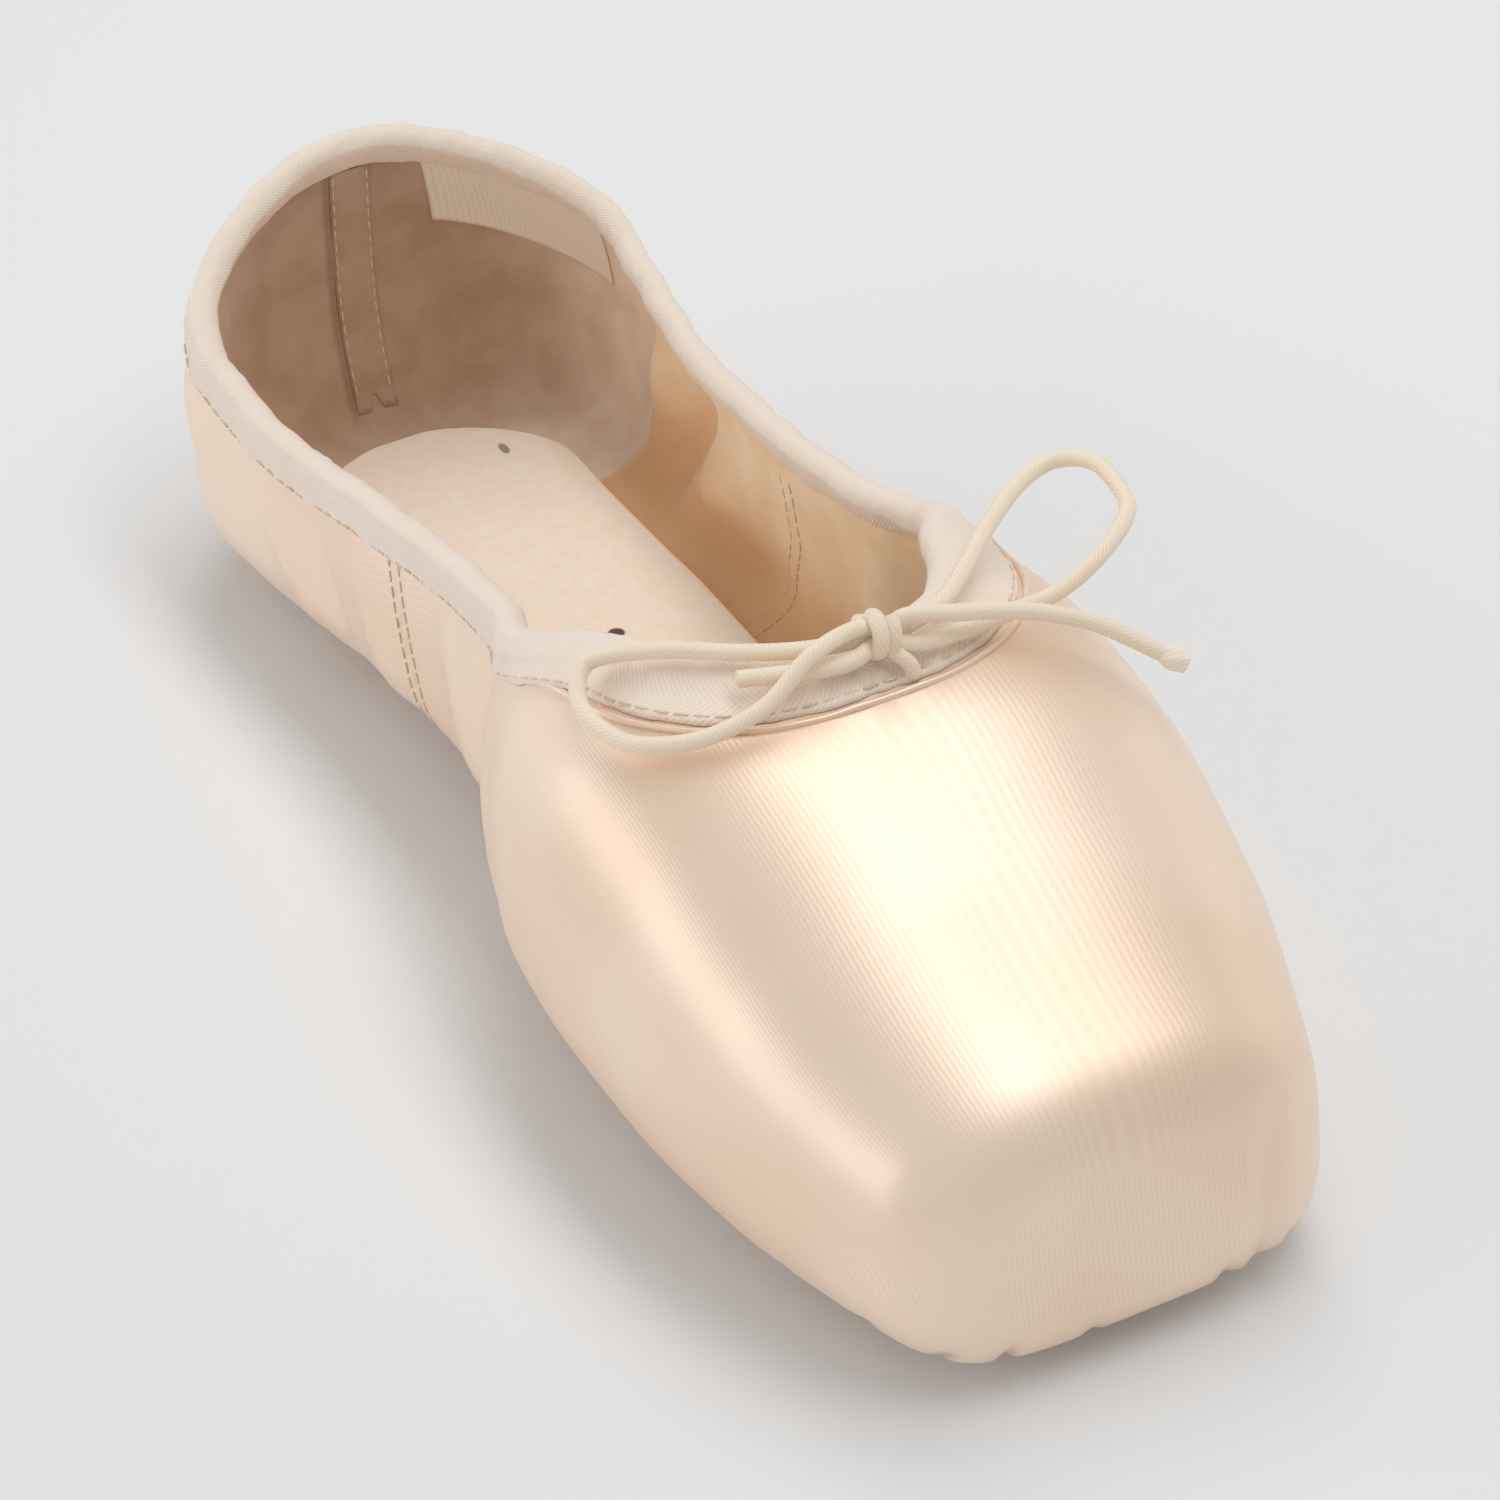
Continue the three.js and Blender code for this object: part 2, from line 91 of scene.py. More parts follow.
OUTSOLE = {
    "x": (-108, -90, -60, -25, 5, 35, 65, 98),
    "half": (20, 21.5, 20, 16.5, 20.5, 25, 24.5, 19),
    "end": 17,
}
INSOLE = {
    "x": (-106, -85, -50, -15, 10, 45, 75, 98),
    "half": (20, 21.5, 21, 20.5, 21.5, 29, 27, 21),
    "end": 19,
    "thick": 2.2,
}
SOLE_MARGIN = 5
ARCH = {"from": -75, "to": 15, "rise": 2.6}
TOE_SPRING = {"from": 72, "to": 98, "rise": 0.9}
QUARTER_WALL = 1.5
BOX_WALL = 3
BOX = (4, 30)  # along the shoe, where the wall thickens into the box
BOX_FOOT = (6, 12)  # in height, where the box thins towards the sole
UNDER_WIDTH = 0.98  # share of the last's half width that counts as its underside


# ---- the last ------------------------------------------------------------------------------
def ease(start, end, x):
    t = np.clip((x - start) / (end - start), 0, 1)
    return t * t * (3 - 2 * t)


def read(table, column, x):
    """A column read at x on a smooth curve that never overshoots its rows."""
    xs, values = np.array(table["x"], float), np.array(table[column], float)
    slope = np.diff(values) / np.diff(xs)
    bend = np.empty(len(xs))
    bend[0], bend[-1] = slope[0], slope[-1]
    before, after = slope[:-1], slope[1:]
    total = np.where(before + after == 0, 1, before + after)
    bend[1:-1] = np.where(before * after <= 0, 0, 2 * before * after / total)
    i = np.clip(np.searchsorted(xs, x) - 1, 0, len(xs) - 2)
    step = xs[i + 1] - xs[i]
    t = np.clip((x - xs[i]) / step, 0, 1)
    return (
        (1 + 2 * t) * (1 - t) ** 2 * values[i]
        + t * (1 - t) ** 2 * step * bend[i]
        + t * t * (3 - 2 * t) * values[i + 1]
        + t * t * (t - 1) * step * bend[i + 1]
    )


def round_in(radius, distance):
    """How far a quarter-round edge has drawn in at a distance from the end."""
    left = np.clip(radius - np.maximum(distance, 0), 0, None)
    return radius - np.sqrt(np.maximum(radius**2 - left**2, 0))


def section(x):
    """The last's width, levels and corner powers at x, its ends rounded off."""
    from_heel, to_toe = HALF_LENGTH + x, HALF_LENGTH - x
    plan = np.sqrt(np.maximum(0, 1 - (1 - np.minimum(1, from_heel / HEEL_RADIUS)) ** 2))
    return {
        "wide": read(LAST, "wide", x) * plan - round_in(PLATFORM_EDGE, to_toe),
        "level": read(LAST, "level", x),
        "top": read(LAST, "top", x) - round_in(PLATFORM_EDGE, to_toe),
        "under": (
            read(LAST, "under", x) + round_in(HEEL_UNDER, from_heel) + round_in(PLATFORM_UNDER, to_toe)
        ),
        "above": read(LAST, "above", x),
        "below": read(LAST, "below", x),
    }


def last_point(x, turn):
    """Points of the last: turn is 0 at the top, a quarter turn at the side, half underneath."""
    x, turn = np.broadcast_arrays(np.asarray(x, float), np.asarray(turn, float))
    s = section(x)
    cos, sin = np.cos(turn), np.sin(turn)
    up = cos >= 0
    power = 2 / np.where(up, s["above"], s["below"])
    reach = np.abs(cos) ** power
    y = s["wide"] * np.abs(sin) ** power * np.sign(sin)
    z = s["level"] + np.where(up, s["top"] - s["level"], s["under"] - s["level"]) * reach
    level = HEEL_LEAN["level"]
    high = HEEL_LEAN["high"] * (np.maximum(z - level, 0) / HEEL_LEAN["above"]) ** 1.5
    low = HEEL_LEAN["low"] * (np.maximum(level - z, 0) / HEEL_LEAN["beneath"]) ** 2
    heel = np.clip((HEEL_LEAN["from"] - x) / HEEL_LEAN["over"], 0, 1) ** 2
    toe = np.clip((x - PLATFORM_LEAN["from"]) / PLATFORM_LEAN["over"], 0, 1) ** 1.5
    back = PLATFORM_LEAN["slope"] * (z - PLATFORM_LEAN["level"])
    return np.stack([x + heel * (high + low) - toe * back, y, z], -1)


def turn_at_height(x, z):
    """The turn at which the section at x rises to height z."""
    s = section(x)
    share = np.clip((z - s["level"]) / (s["top"] - s["level"]), 0, 1)
    return np.arccos(share ** (s["above"] / 2))


def collar_turn(x):
    """The turn at which the collar's edge crosses the section at x."""
    x = np.asarray(x, float)
    s = section(x)
    by_height = turn_at_height(x, read(COLLAR, "height", x))
    back, front, square = THROAT["back"], THROAT["front"], THROAT["square"]
    along = np.clip((x - back) / (front - back), 0, 1)
    y = THROAT["half"] * (1 - along**square) ** (1 / square)
    by_plan = np.arcsin(np.minimum(1, y / np.maximum(s["wide"], 1)) ** (s["above"] / 2))
    mix = ease(*COLLAR_BLEND, x)
    return np.where(x < front, by_height * (1 - mix) + by_plan * mix, 0)


def plate_half(table, x, margin=0.0):
    """Half a plate's width at x, drawn in to an ellipse at each end."""
    start, end = table["x"][0] + margin, table["x"][-1] - margin
    near = np.clip(np.minimum(x - start, end - x) / table["end"], 0, 1)
    return np.maximum(0, read(table, "half", x) - margin) * np.sqrt(np.maximum(0, 1 - (1 - near) ** 2))


def feather_turn(x):
    """The turn at which the upper's lasted edge lies under the section at x."""
    s = section(x)
    half = plate_half(OUTSOLE, x, SOLE_MARGIN)
    return np.pi - np.arcsin(np.clip(half / np.maximum(s["wide"], 1), 0, 1) ** (s["below"] / 2))


def underside(x, y):
    """The height of the last's underside."""
    s = section(x)
    across = np.minimum(UNDER_WIDTH, np.abs(y) / np.maximum(s["wide"], 1))
    return last_point(x, np.pi - np.arcsin(across ** (s["below"] / 2)))[..., 2]


def wall_at(x, z=20.0):
    """The upper's thickness; the height matters only close to the sole."""
    return QUARTER_WALL + (BOX_WALL - QUARTER_WALL) * ease(*BOX, x) * ease(*BOX_FOOT, z)


# ---- mesh helpers --------------------------------------------------------------------------
class Surface:
    """Grids of points with a cloth length and width for each, gathered into one mesh."""

    def __init__(self):
        self.points, self.cloth, self.faces, self.slots = [], [], [], []
        self.count = 0

    def grid(self, points, cloth, slot=0, flip=False):
        n, m = points.shape[:2]
        index = self.count + np.arange(n * m).reshape(n, m)
        quads = np.stack([index[:-1, :-1], index[1:, :-1], index[1:, 1:], index[:-1, 1:]], -1).reshape(-1, 4)
        self.faces.append(quads[:, ::-1] if flip else quads)
        self.slots.append(np.full(len(quads), slot))
        self.points.append(points.reshape(-1, 3))
        self.cloth.append(np.broadcast_to(cloth, (n, m, 2)).reshape(-1, 2))
        self.count += n * m
        return self

    def build(self, name, materials, relief=None, wall=None, inner_slot=0):
        """The mesh, its points welded. relief lifts them along their normals, and wall makes
        the open sheet a closed one of that thickness."""
        raw = np.concatenate(self.points)
        cloth = np.concatenate(self.cloth)
        faces, slots = np.concatenate(self.faces), np.concatenate(self.slots)
        _, first, weld = np.unique(np.round(raw, 3), axis=0, return_index=True, return_inverse=True)
        weld = weld.reshape(-1)
        points = raw[first]
        if relief is not None:
            points = points + relief(points)[:, None] * normals(points, weld[faces])
        if wall is not None:
            out = normals(points, weld[faces])
            inner = points - wall(points)[:, None] * out
            shift, cloth_shift = len(points), len(raw)
            rim = open_edges(weld[faces])
            points = np.concatenate([points, inner])
            weld = np.concatenate([weld, weld + shift])
            cloth = np.concatenate([cloth, cloth])
            inside = faces[:, ::-1] + cloth_shift
            raw_of = dict(zip(weld.tolist(), range(len(weld))))
            band = [[raw_of[b], raw_of[a], raw_of[a + shift], raw_of[b + shift]] for a, b in rim]
            faces = np.concatenate([faces, inside, np.array(band, int).reshape(-1, 4)])
            slots = np.concatenate([slots, np.full(len(inside), inner_slot), np.zeros(len(band), int)])
        polygons, loops, kept = [], [], []
        for face, slot in zip(faces.tolist(), slots.tolist()):
            seen, corners = [], []
            for raw_index in face:
                vertex = int(weld[raw_index])
                if vertex not in seen:
                    seen.append(vertex)
                    corners.append(raw_index)
            if len(seen) > 2:
                polygons.append(seen)
                loops.extend(corners)
                kept.append(slot)
        mesh = bpy.data.meshes.new(name)
        mesh.from_pydata((points * MM).tolist(), [], polygons)
        layer = mesh.uv_layers.new(name="cloth")
        layer.data.foreach_set("uv", cloth[loops].astype(np.float32).ravel())
        mesh.polygons.foreach_set("material_index", kept)
        mesh.polygons.foreach_set("use_smooth", [True] * len(kept))
        for material in materials:
            mesh.materials.append(material)
        piece = bpy.data.objects.new(name, mesh)
        bpy.context.scene.collection.objects.link(piece)
        return piece


def normals(points, faces):
    """Each point's outward direction, from the four-cornered faces round it."""
    a, b, c, d = (points[faces[:, i]] for i in range(4))
    flat = np.cross(c - a, d - b)
    out = np.zeros_like(points)
    for i in range(4):
        np.add.at(out, faces[:, i], flat)
    return out / np.maximum(np.linalg.norm(out, axis=1, keepdims=True), 1e-9)


def open_edges(faces):
    """Directed edges that only one face has."""
    pairs = np.concatenate([faces[:, [i, (i + 1) % 4]] for i in range(4)])
    pairs = pairs[pairs[:, 0] != pairs[:, 1]]
    there = set(map(tuple, pairs.tolist()))
    return [(a, b) for a, b in there if (b, a) not in there]


def arc_lengths(points, axis):
    """The length run so far at each point."""
    step = np.linalg.norm(np.diff(points, axis=axis), axis=-1)
    zero = np.zeros_like(np.take(step, [0], axis))
    return np.concatenate([zero, np.cumsum(step, axis=axis)], axis)


def catmull_rom(a, b, c, d, t):
    """From b to c as t goes from 0 to 1, on the curve through all four."""
    return 0.5 * (2 * b + (c - a) * t + (2 * a - 5 * b + 4 * c - d) * t**2 + (3 * b - a - 3 * c + d) * t**3)


def smooth_line(points, spacing):
    """Points at an even spacing on a smooth curve through these."""
    p = np.array(points, float)
    p = np.concatenate([2 * p[:1] - p[1:2], p, 2 * p[-1:] - p[-2:-1]])
    t = np.linspace(0, 1, 24, endpoint=False)[:, None]
    fine = [catmull_rom(a, b, c, d, t) for a, b, c, d in zip(p, p[1:], p[2:], p[3:])]
    fine = np.concatenate(fine + [p[-2][None]])
    run = arc_lengths(fine, 0)
    want = np.linspace(0, run[-1], max(2, round(run[-1] / spacing) + 1))
    return np.stack([np.interp(want, run, fine[:, i]) for i in range(3)], -1)


START_SIDE = (0.3, 0.1, 1.0)  # a direction that no line sets out along


def tube(surface, line, radius, sides=12, ripple=None):
    """A round tube along a line, its ends closed flat. ripple(run, angle) scales its radius."""
    ahead = np.gradient(line, axis=0)
    ahead /= np.linalg.norm(ahead, axis=1, keepdims=True)
    side = np.cross(ahead[0], START_SIDE)
    sides_of = []
    for direction in ahead:
        side = side - direction * (side @ direction)
        side /= np.linalg.norm(side)
        sides_of.append(side)
    side = np.array(sides_of)
    up = np.cross(ahead, side)
    angle = np.linspace(0, 2 * np.pi, sides + 1)
    angle[-1] = 0
    run = arc_lengths(line, 0)
    reach = np.full((len(line), sides + 1), float(radius))
    if ripple is not None:
        reach = reach * ripple(run[:, None], angle[None, :])
    ring = side[:, None] * np.cos(angle)[:, None] + up[:, None] * np.sin(angle)[:, None]
    points = line[:, None] + ring * reach[..., None]
    ends = [np.repeat(line[:1, None], sides + 1, 1), points, np.repeat(line[-1:, None], sides + 1, 1)]
    points = np.concatenate(ends)
    around = np.linspace(0, 2 * np.pi * radius, sides + 1)
    along = np.concatenate([run[:1], run, run[-1:]])
    cloth = np.stack(np.broadcast_arrays(along[:, None], around[None, :]), -1)
    return surface.grid(points, cloth)


def finish_piece(piece, slot, *nodes):
    """A piece of the shoe's one body, in place of these CAD nodes."""
    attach(piece, "root")
    if nodes:
        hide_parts(*nodes)
    return piece


# ---- materials -----------------------------------------------------------------------------
def linear(hex_colour):
    """An sRGB colour as linear light."""
    channels = [((hex_colour >> shift) & 255) / 255 for shift in (16, 8, 0)]
    return tuple(c / 12.92 if c <= 0.04045 else ((c + 0.055) / 1.055) ** 2.4 for c in channels)


class Paint:
    """A Principled material and short names for the nodes that feed it."""

    def __init__(self, name, colour, roughness, **uniform):
        self.material = bpy.data.materials.new(name)
        self.material.use_nodes = True
        self.tree = self.material.node_tree
        self.shader = self.tree.nodes["Principled BSDF"]
        self.set("Base Color", (*linear(colour), 1))
        self.set("Roughness", roughness)
        for socket, value in uniform.items():
            self.set(socket.replace("_", " "), value)

    def set(self, socket, value):
        self.shader.inputs[socket].default_value = value

    def link(self, out, socket):
        self.tree.links.new(out, self.shader.inputs[socket])

    def node(self, kind, inputs=(), out=0, **settings):
        node = self.tree.nodes.new(kind)
        for key, value in settings.items():
            setattr(node, key, value)
        for key, value in dict(inputs).items():
            if isinstance(value, bpy.types.NodeSocket):
                self.tree.links.new(value, node.inputs[key])
            else:
                node.inputs[key].default_value = value
        return node.outputs[out]

    def math(self, operation, a, b=0.0, c=0.0):
        return self.node("ShaderNodeMath", {0: a, 1: b, 2: c}, operation=operation)

    def cloth(self):
        """Millimetres along the cloth and across it."""
        uv = self.node("ShaderNodeUVMap", uv_map="cloth")
        split = self.node("ShaderNodeSeparateXYZ", {0: uv})
        return split, split.node.outputs[1]

    def place(self):
        """x, y and z in millimetres."""
        at = self.node("ShaderNodeTexCoord", out="Object")
        split = self.node("ShaderNodeSeparateXYZ", {0: at})
        return [self.math("MULTIPLY", split.node.outputs[i], 1 / MM) for i in range(3)]

    def wave(self, along, pitch):
        """0 to 1 and back over each pitch."""
        turn = self.math("MULTIPLY", along, 2 * math.pi / pitch)
        return self.math("MULTIPLY_ADD", self.math("SINE", turn), 0.5, 0.5)

    def noise(self, size, detail=2.0, distortion=0.0):
        at = self.node("ShaderNodeTexCoord", out="Object")
        inputs = {"Vector": at, "Scale": 1 / (size * MM), "Detail": detail, "Distortion": distortion}
        return self.node("ShaderNodeTexNoise", inputs)

    def between(self, value, low, high, to_low=0.0, to_high=1.0):
        """A smooth step from to_low to to_high as the value goes from low to high."""
        inputs = {
            "Value": value, "From Min": low, "From Max": high, "To Min": to_low, "To Max": to_high,
        }
        return self.node("ShaderNodeMapRange", inputs, interpolation_type="SMOOTHSTEP")

    def mix(self, factor, a, b):
        a, b = ((*linear(c), 1) if isinstance(c, int) else c for c in (a, b))
        return self.node("ShaderNodeMix", {0: factor, 6: a, 7: b}, out=2, data_type="RGBA")

    def bump(self, height, depth, strength=1.0):
        inputs = {"Height": height, "Distance": depth * MM, "Strength": strength}
        self.link(self.node("ShaderNodeBump", inputs), "Normal")


SATIN = {"pale": 0xFCE6D1, "deep": 0xEDC8A3, "rib": 0.7, "relief": 0.018}
SATIN_SHINE = {
    "Metallic": 0.38, "Anisotropic": 0.3, "Coat_Weight": 0.4, "Coat_Roughness": 0.36,
    "Sheen_Weight": 0.1, "Sheen_Roughness": 0.4,
}


def satin():
    p = Paint("satin", SATIN["pale"], 0.43, **SATIN_SHINE)
    along, around = p.cloth()
    ribs = p.wave(around, SATIN["rib"])
    threads = p.wave(along, SATIN["rib"] / 2)
    cloudy = p.between(p.noise(30, 1), 0.35, 0.65)
    tone = p.mix(p.math("MULTIPLY", cloudy, 0.3), SATIN["pale"], SATIN["deep"])
    p.link(p.mix(p.math("MULTIPLY", ribs, 0.2), tone, SATIN["deep"]), "Base Color")
    height = p.math("MULTIPLY_ADD", threads, 0.3, p.math("MULTIPLY_ADD", p.noise(0.5, 2), 0.4, ribs))
    p.bump(height, SATIN["relief"], 0.45)
    p.link(p.node("ShaderNodeTangent", direction_type="UV_MAP", uv_map="cloth"), "Tangent")
    return p.material


# The heel's own lining ends along a ragged line that leans with height. A darker line runs
# down it beside the centre back tape.
HEEL_LINING = {"edge": -83, "fade": (2, 4.5), "lean": 0.1, "ragged": 2.5, "back": (-114, -92)}
TAPE_SHADE = {"y": -3.9, "half": 1.1, "dark": 0.45, "back": (-114, -112)}


def lining():
    p = Paint("lining", 0xEBCBA4, 0.85, Sheen_Weight=0.25, Sheen_Roughness=0.5)
    x, y, z = p.place()
    ragged = p.math("MULTIPLY_ADD", p.noise(6, 2), HEEL_LINING["ragged"], x)
    edge = p.math("MULTIPLY_ADD", z, HEEL_LINING["lean"], ragged)
    zone = p.between(edge, *(HEEL_LINING["edge"] + fade for fade in HEEL_LINING["fade"]))
    mottled = p.between(p.noise(7, 4, 0.3), 0.3, 0.72)
    from_line = p.math("ABSOLUTE", p.math("ADD", y, -TAPE_SHADE["y"]))
    shade = p.between(from_line, 0, TAPE_SHADE["half"], TAPE_SHADE["dark"], 0)
    shade = p.math("MULTIPLY", shade, p.between(x, *TAPE_SHADE["back"], 1, 0))
    behind, ahead = p.mix(mottled, 0xC2A48C, 0xB4947A), p.mix(mottled, 0xFAE6D3, 0xEED6C0)
    heel = p.mix(p.between(x, *HEEL_LINING["back"]), behind, ahead)
    heel = p.mix(shade, heel, 0x7A5A44)
    # Painted shade and painted bounce light from the insole: the quarter lining is painted a deeper orange
    # (0xE9B987) towards its foot, most below 11 mm and none above 32 mm.
    low = p.between(z, 11, 32, 0.75, 0)
    quarter = p.mix(low, p.mix(mottled, 0xFCE6C8, 0xF6D8B0), 0xE9B987)
    p.link(p.mix(zone, heel, quarter), "Base Color")
    p.bump(p.math("ADD", p.noise(0.45, 3), p.math("MULTIPLY", p.noise(3.5, 3), 1.5)), 0.12, 0.55)
    return p.material


def twill():
    p = Paint("twill", 0xE9D5C8, 0.7, Sheen_Weight=0.3, Sheen_Roughness=0.45)
    along, around = p.cloth()
    zigzag = p.math("PINGPONG", around, 2.4)
    slant = p.wave(p.math("ADD", along, zigzag), 0.62)
    tone = p.mix(p.math("MULTIPLY", slant, 0.6), 0xF0DECD, 0xFDF5EB)
    p.link(p.mix(p.between(p.noise(14, 2), 0.4, 0.7, 0, 0.3), tone, 0xF3E0CC), "Base Color")
    p.bump(p.math("MULTIPLY_ADD", p.noise(0.5, 2), 0.6, slant), 0.09, 0.6)
    return p.material


def suede():
    p = Paint("insole_suede", 0xF0D2B0, 0.92, Sheen_Weight=0.35, Sheen_Roughness=0.6)
    x, y, _ = p.place()
    nap = p.between(p.noise(2.2, 5, 0.3), 0.25, 0.75)
    tone = p.mix(nap, 0xFFF6E8, 0xFFEEDA)
    for hole in NAIL_HOLES:
        dx, dy = p.math("SUBTRACT", x, hole["x"]), p.math("SUBTRACT", y, hole["y"])
        across = p.math("MULTIPLY", dx, hole["long"])
        squares = p.math("ADD", p.math("MULTIPLY", across, across), p.math("MULTIPLY", dy, dy))
        inner, outer = hole["half"] * 0.8, hole["half"] * 1.15
        shade = p.between(p.math("SQRT", squares), inner, outer, hole["dark"], 0)
        tone = p.mix(shade, tone, 0x4A3A34)
    p.link(tone, "Base Color")
    p.bump(p.math("MULTIPLY_ADD", p.noise(0.35, 3), 0.8, p.noise(2.5, 3)), 0.1, 0.5)
    return p.material


def leather():
    p = Paint("outsole_leather", 0xB58255, 0.72)
    at = p.node("ShaderNodeTexCoord", out="Object")
    grain = p.node("ShaderNodeTexVoronoi", {"Vector": at, "Scale": 1400})
    worn = p.between(p.noise(12, 5), 0.35, 0.7)
    p.link(p.mix(worn, 0xB5875D, 0xA4754C), "Base Color")
    p.bump(p.math("MULTIPLY_ADD", grain, 0.6, p.noise(1.2, 4)), 0.12, 0.6)
    return p.material


def braid(name, colour, dark):
    p = Paint(name, colour, 0.6, Sheen_Weight=0.25, Sheen_Roughness=0.4)
    along, around = p.cloth()
    one = p.wave(p.math("MULTIPLY_ADD", around, 1.3, along), 0.85)
    p.link(p.mix(p.math("MULTIPLY", one, 0.35), colour, dark), "Base Color")
    p.bump(p.math("ADD", one, p.noise(0.4, 2)), 0.035, 0.6)
    return p.material


def thread():
    p = Paint("thread", 0xE6CDB6, 0.55)
    p.link(p.mix(p.noise(2, 2), 0xF0DDC8, 0xE0C4A6), "Base Color")
    return p.material


def label_tape():
    p = Paint("label_tape", 0xE8D6C4, 0.8)
    along, around = p.cloth()
    weave = p.math("MULTIPLY", p.wave(along, 0.5), p.wave(around, 0.5))
    p.link(p.mix(weave, 0xF0E2D2, 0xFBF2E6), "Base Color")
    p.bump(weave, 0.02, 0.5)
    return p.material


# ---- walls, seams and folds ----------------------------------------------------------------
SIDE_SEAM = {"z": (8, 26, 37), "left": (-28, -22, -23.5), "right": (-27, -31, -33.5)}
SEAM_GROOVE = {"deep": 0.4, "wide": 0.7, "off_centre": 12, "foot": (4, 8)}
FOLDS = [
    # side 1 is the wearer's left; from and to are (x, z); lift is outwards
    {"side": 1, "from": (-71, 33), "to": (-79, 13), "wide": 4.6, "lift": -3.4},
    {"side": 1, "from": (-55, 34), "to": (-69, 11), "wide": 4.4, "lift": 3.4},
    {"side": 1, "from": (-38, 27), "to": (-60, 12), "wide": 5.0, "lift": -3.6},
    {"side": 1, "from": (-28, 15), "to": (-48, 8), "wide": 4.0, "lift": 2.0},
    {"side": 1, "from": (-14, 37), "to": (-5, 16), "wide": 5.0, "lift": 1.5},
    {"side": 1, "from": (-8, 20), "to": (12, 29), "wide": 4.6, "lift": -1.2},
    {"side": 1, "from": (-110, 32), "to": (-96, 18), "wide": 3.4, "lift": -0.5},
    {"side": 1, "from": (2, 42), "to": (0, 12), "wide": 4.5, "lift": -1.4},
    {"side": -1, "from": (0, 42), "to": (-3, 12), "wide": 4.6, "lift": -2.6},
    {"side": -1, "from": (10, 44), "to": (10, 10), "wide": 4.0, "lift": 0.8},
    {"side": -1, "from": (-18, 38), "to": (-11, 12), "wide": 3.6, "lift": 0.9},
    {"side": -1, "from": (-44, 34), "to": (-38, 12), "wide": 3.4, "lift": 1.0},
    {"side": -1, "from": (-60, 32), "to": (-50, 14), "wide": 3.8, "lift": -1.1},
    {"side": -1, "from": (-72, 32), "to": (-62, 14), "wide": 3.4, "lift": 0.9},
    {"side": -1, "from": (-100, 38), "to": (-84, 24), "wide": 3.2, "lift": 0.8},
    {"side": -1, "from": (-108, 34), "to": (-92, 18), "wide": 3.0, "lift": -0.9},
    {"side": -1, "from": (-114, 30), "to": (-104, 12), "wide": 2.6, "lift": 0.5},
    {"side": -1, "from": (-117, 36), "to": (-111, 20), "wide": 2.2, "lift": -0.5},
]
FOLD_ENDS = 0.35  # the share of its lift that a fold keeps at its ends
FOLDS_FADE = {"under_collar": (2, 11), "above_sole": (3, 8)}
# The toe's pleats fan out from its underside. Each is a narrow tuck, and what lies between
# them stands a little proud.
PLEATS = {
    "from": (82, 96), "below": (4, 10.5), "fan": (80, 72), "stretch": 1.1, "pitch": 8.5,
    "uneven": (0.12, 2.3), "start": 0.25, "narrow": 0.095, "proud": 0.12, "deep": 2.1, "least": 0.4,
}
DEEP_PLEATS = [{"y": -25, "wide": 7, "more": 1.0}, {"y": 17, "wide": 5, "more": 0.6}]
TOE_CREASE = {"y": 18.5, "lean": 0.12, "level": 20, "wide": 1.7, "along": (108, 115), "fade": (20, 32)}


def along_fold(x, z, fold):
    """A fold's share of its lift: full along its middle, fading to both sides and its ends."""
    (x0, z0), (x1, z1) = fold["from"], fold["to"]
    dx, dz = x1 - x0, z1 - z0
    t = np.clip(((x - x0) * dx + (z - z0) * dz) / (dx * dx + dz * dz), 0, 1)
    away = np.hypot(x - x0 - t * dx, z - z0 - t * dz)
    swell = np.sin(np.pi * np.clip(t, 0.08, 0.92))
    return np.exp(-((away / fold["wide"]) ** 2)) * (FOLD_ENDS + (1 - FOLD_ENDS) * swell)


def relief(points):
    """How far the satin stands out from the last: folds, side seams, the toe's pleats and a
    crease down its platform."""
    x, y, z = points.T
    side = np.sign(y)
    lift = np.zeros(len(points))
    for fold in FOLDS:
        lift += fold["lift"] * along_fold(x, z, fold) * (side == fold["side"])
    edge = read(COLLAR, "height", x)
    lift *= ease(*FOLDS_FADE["under_collar"], edge - z) * ease(*FOLDS_FADE["above_sole"], z)
    left, right = (np.interp(z, SIDE_SEAM["z"], SIDE_SEAM[name]) for name in ("left", "right"))
    seam = np.where(side > 0, left, right)
    groove = SEAM_GROOVE["deep"] * np.exp(-(((x - seam) / SEAM_GROOVE["wide"]) ** 2))
    lift -= groove * (np.abs(y) > SEAM_GROOVE["off_centre"]) * ease(*SEAM_GROOVE["foot"], z)
    fan_x, turn_x = PLEATS["fan"]
    run = np.hypot(x - fan_x, y * PLEATS["stretch"]) * np.arctan2(y, x - turn_x) / PLEATS["pitch"]
    sway, often = PLEATS["uneven"]
    run += sway * np.sin(run * often) + PLEATS["start"]
    tucks = np.exp(-(((run - np.floor(run) - 0.5) / PLEATS["narrow"]) ** 2)) - PLEATS["proud"]
    deep = PLEATS["deep"] * ease(*PLEATS["from"], x) * (1 - ease(*PLEATS["below"], z))
    share = PLEATS["least"]
    for place in DEEP_PLEATS:
        share = share + place["more"] * np.exp(-(((y - place["y"]) / place["wide"]) ** 2))
    away = y - TOE_CREASE["y"] - TOE_CREASE["lean"] * (z - TOE_CREASE["level"])
    crease = np.exp(-((away / TOE_CREASE["wide"]) ** 2))
    crease *= ease(*TOE_CREASE["along"], x) * (1 - ease(*TOE_CREASE["fade"], z))
    return lift - deep * share * tucks - crease


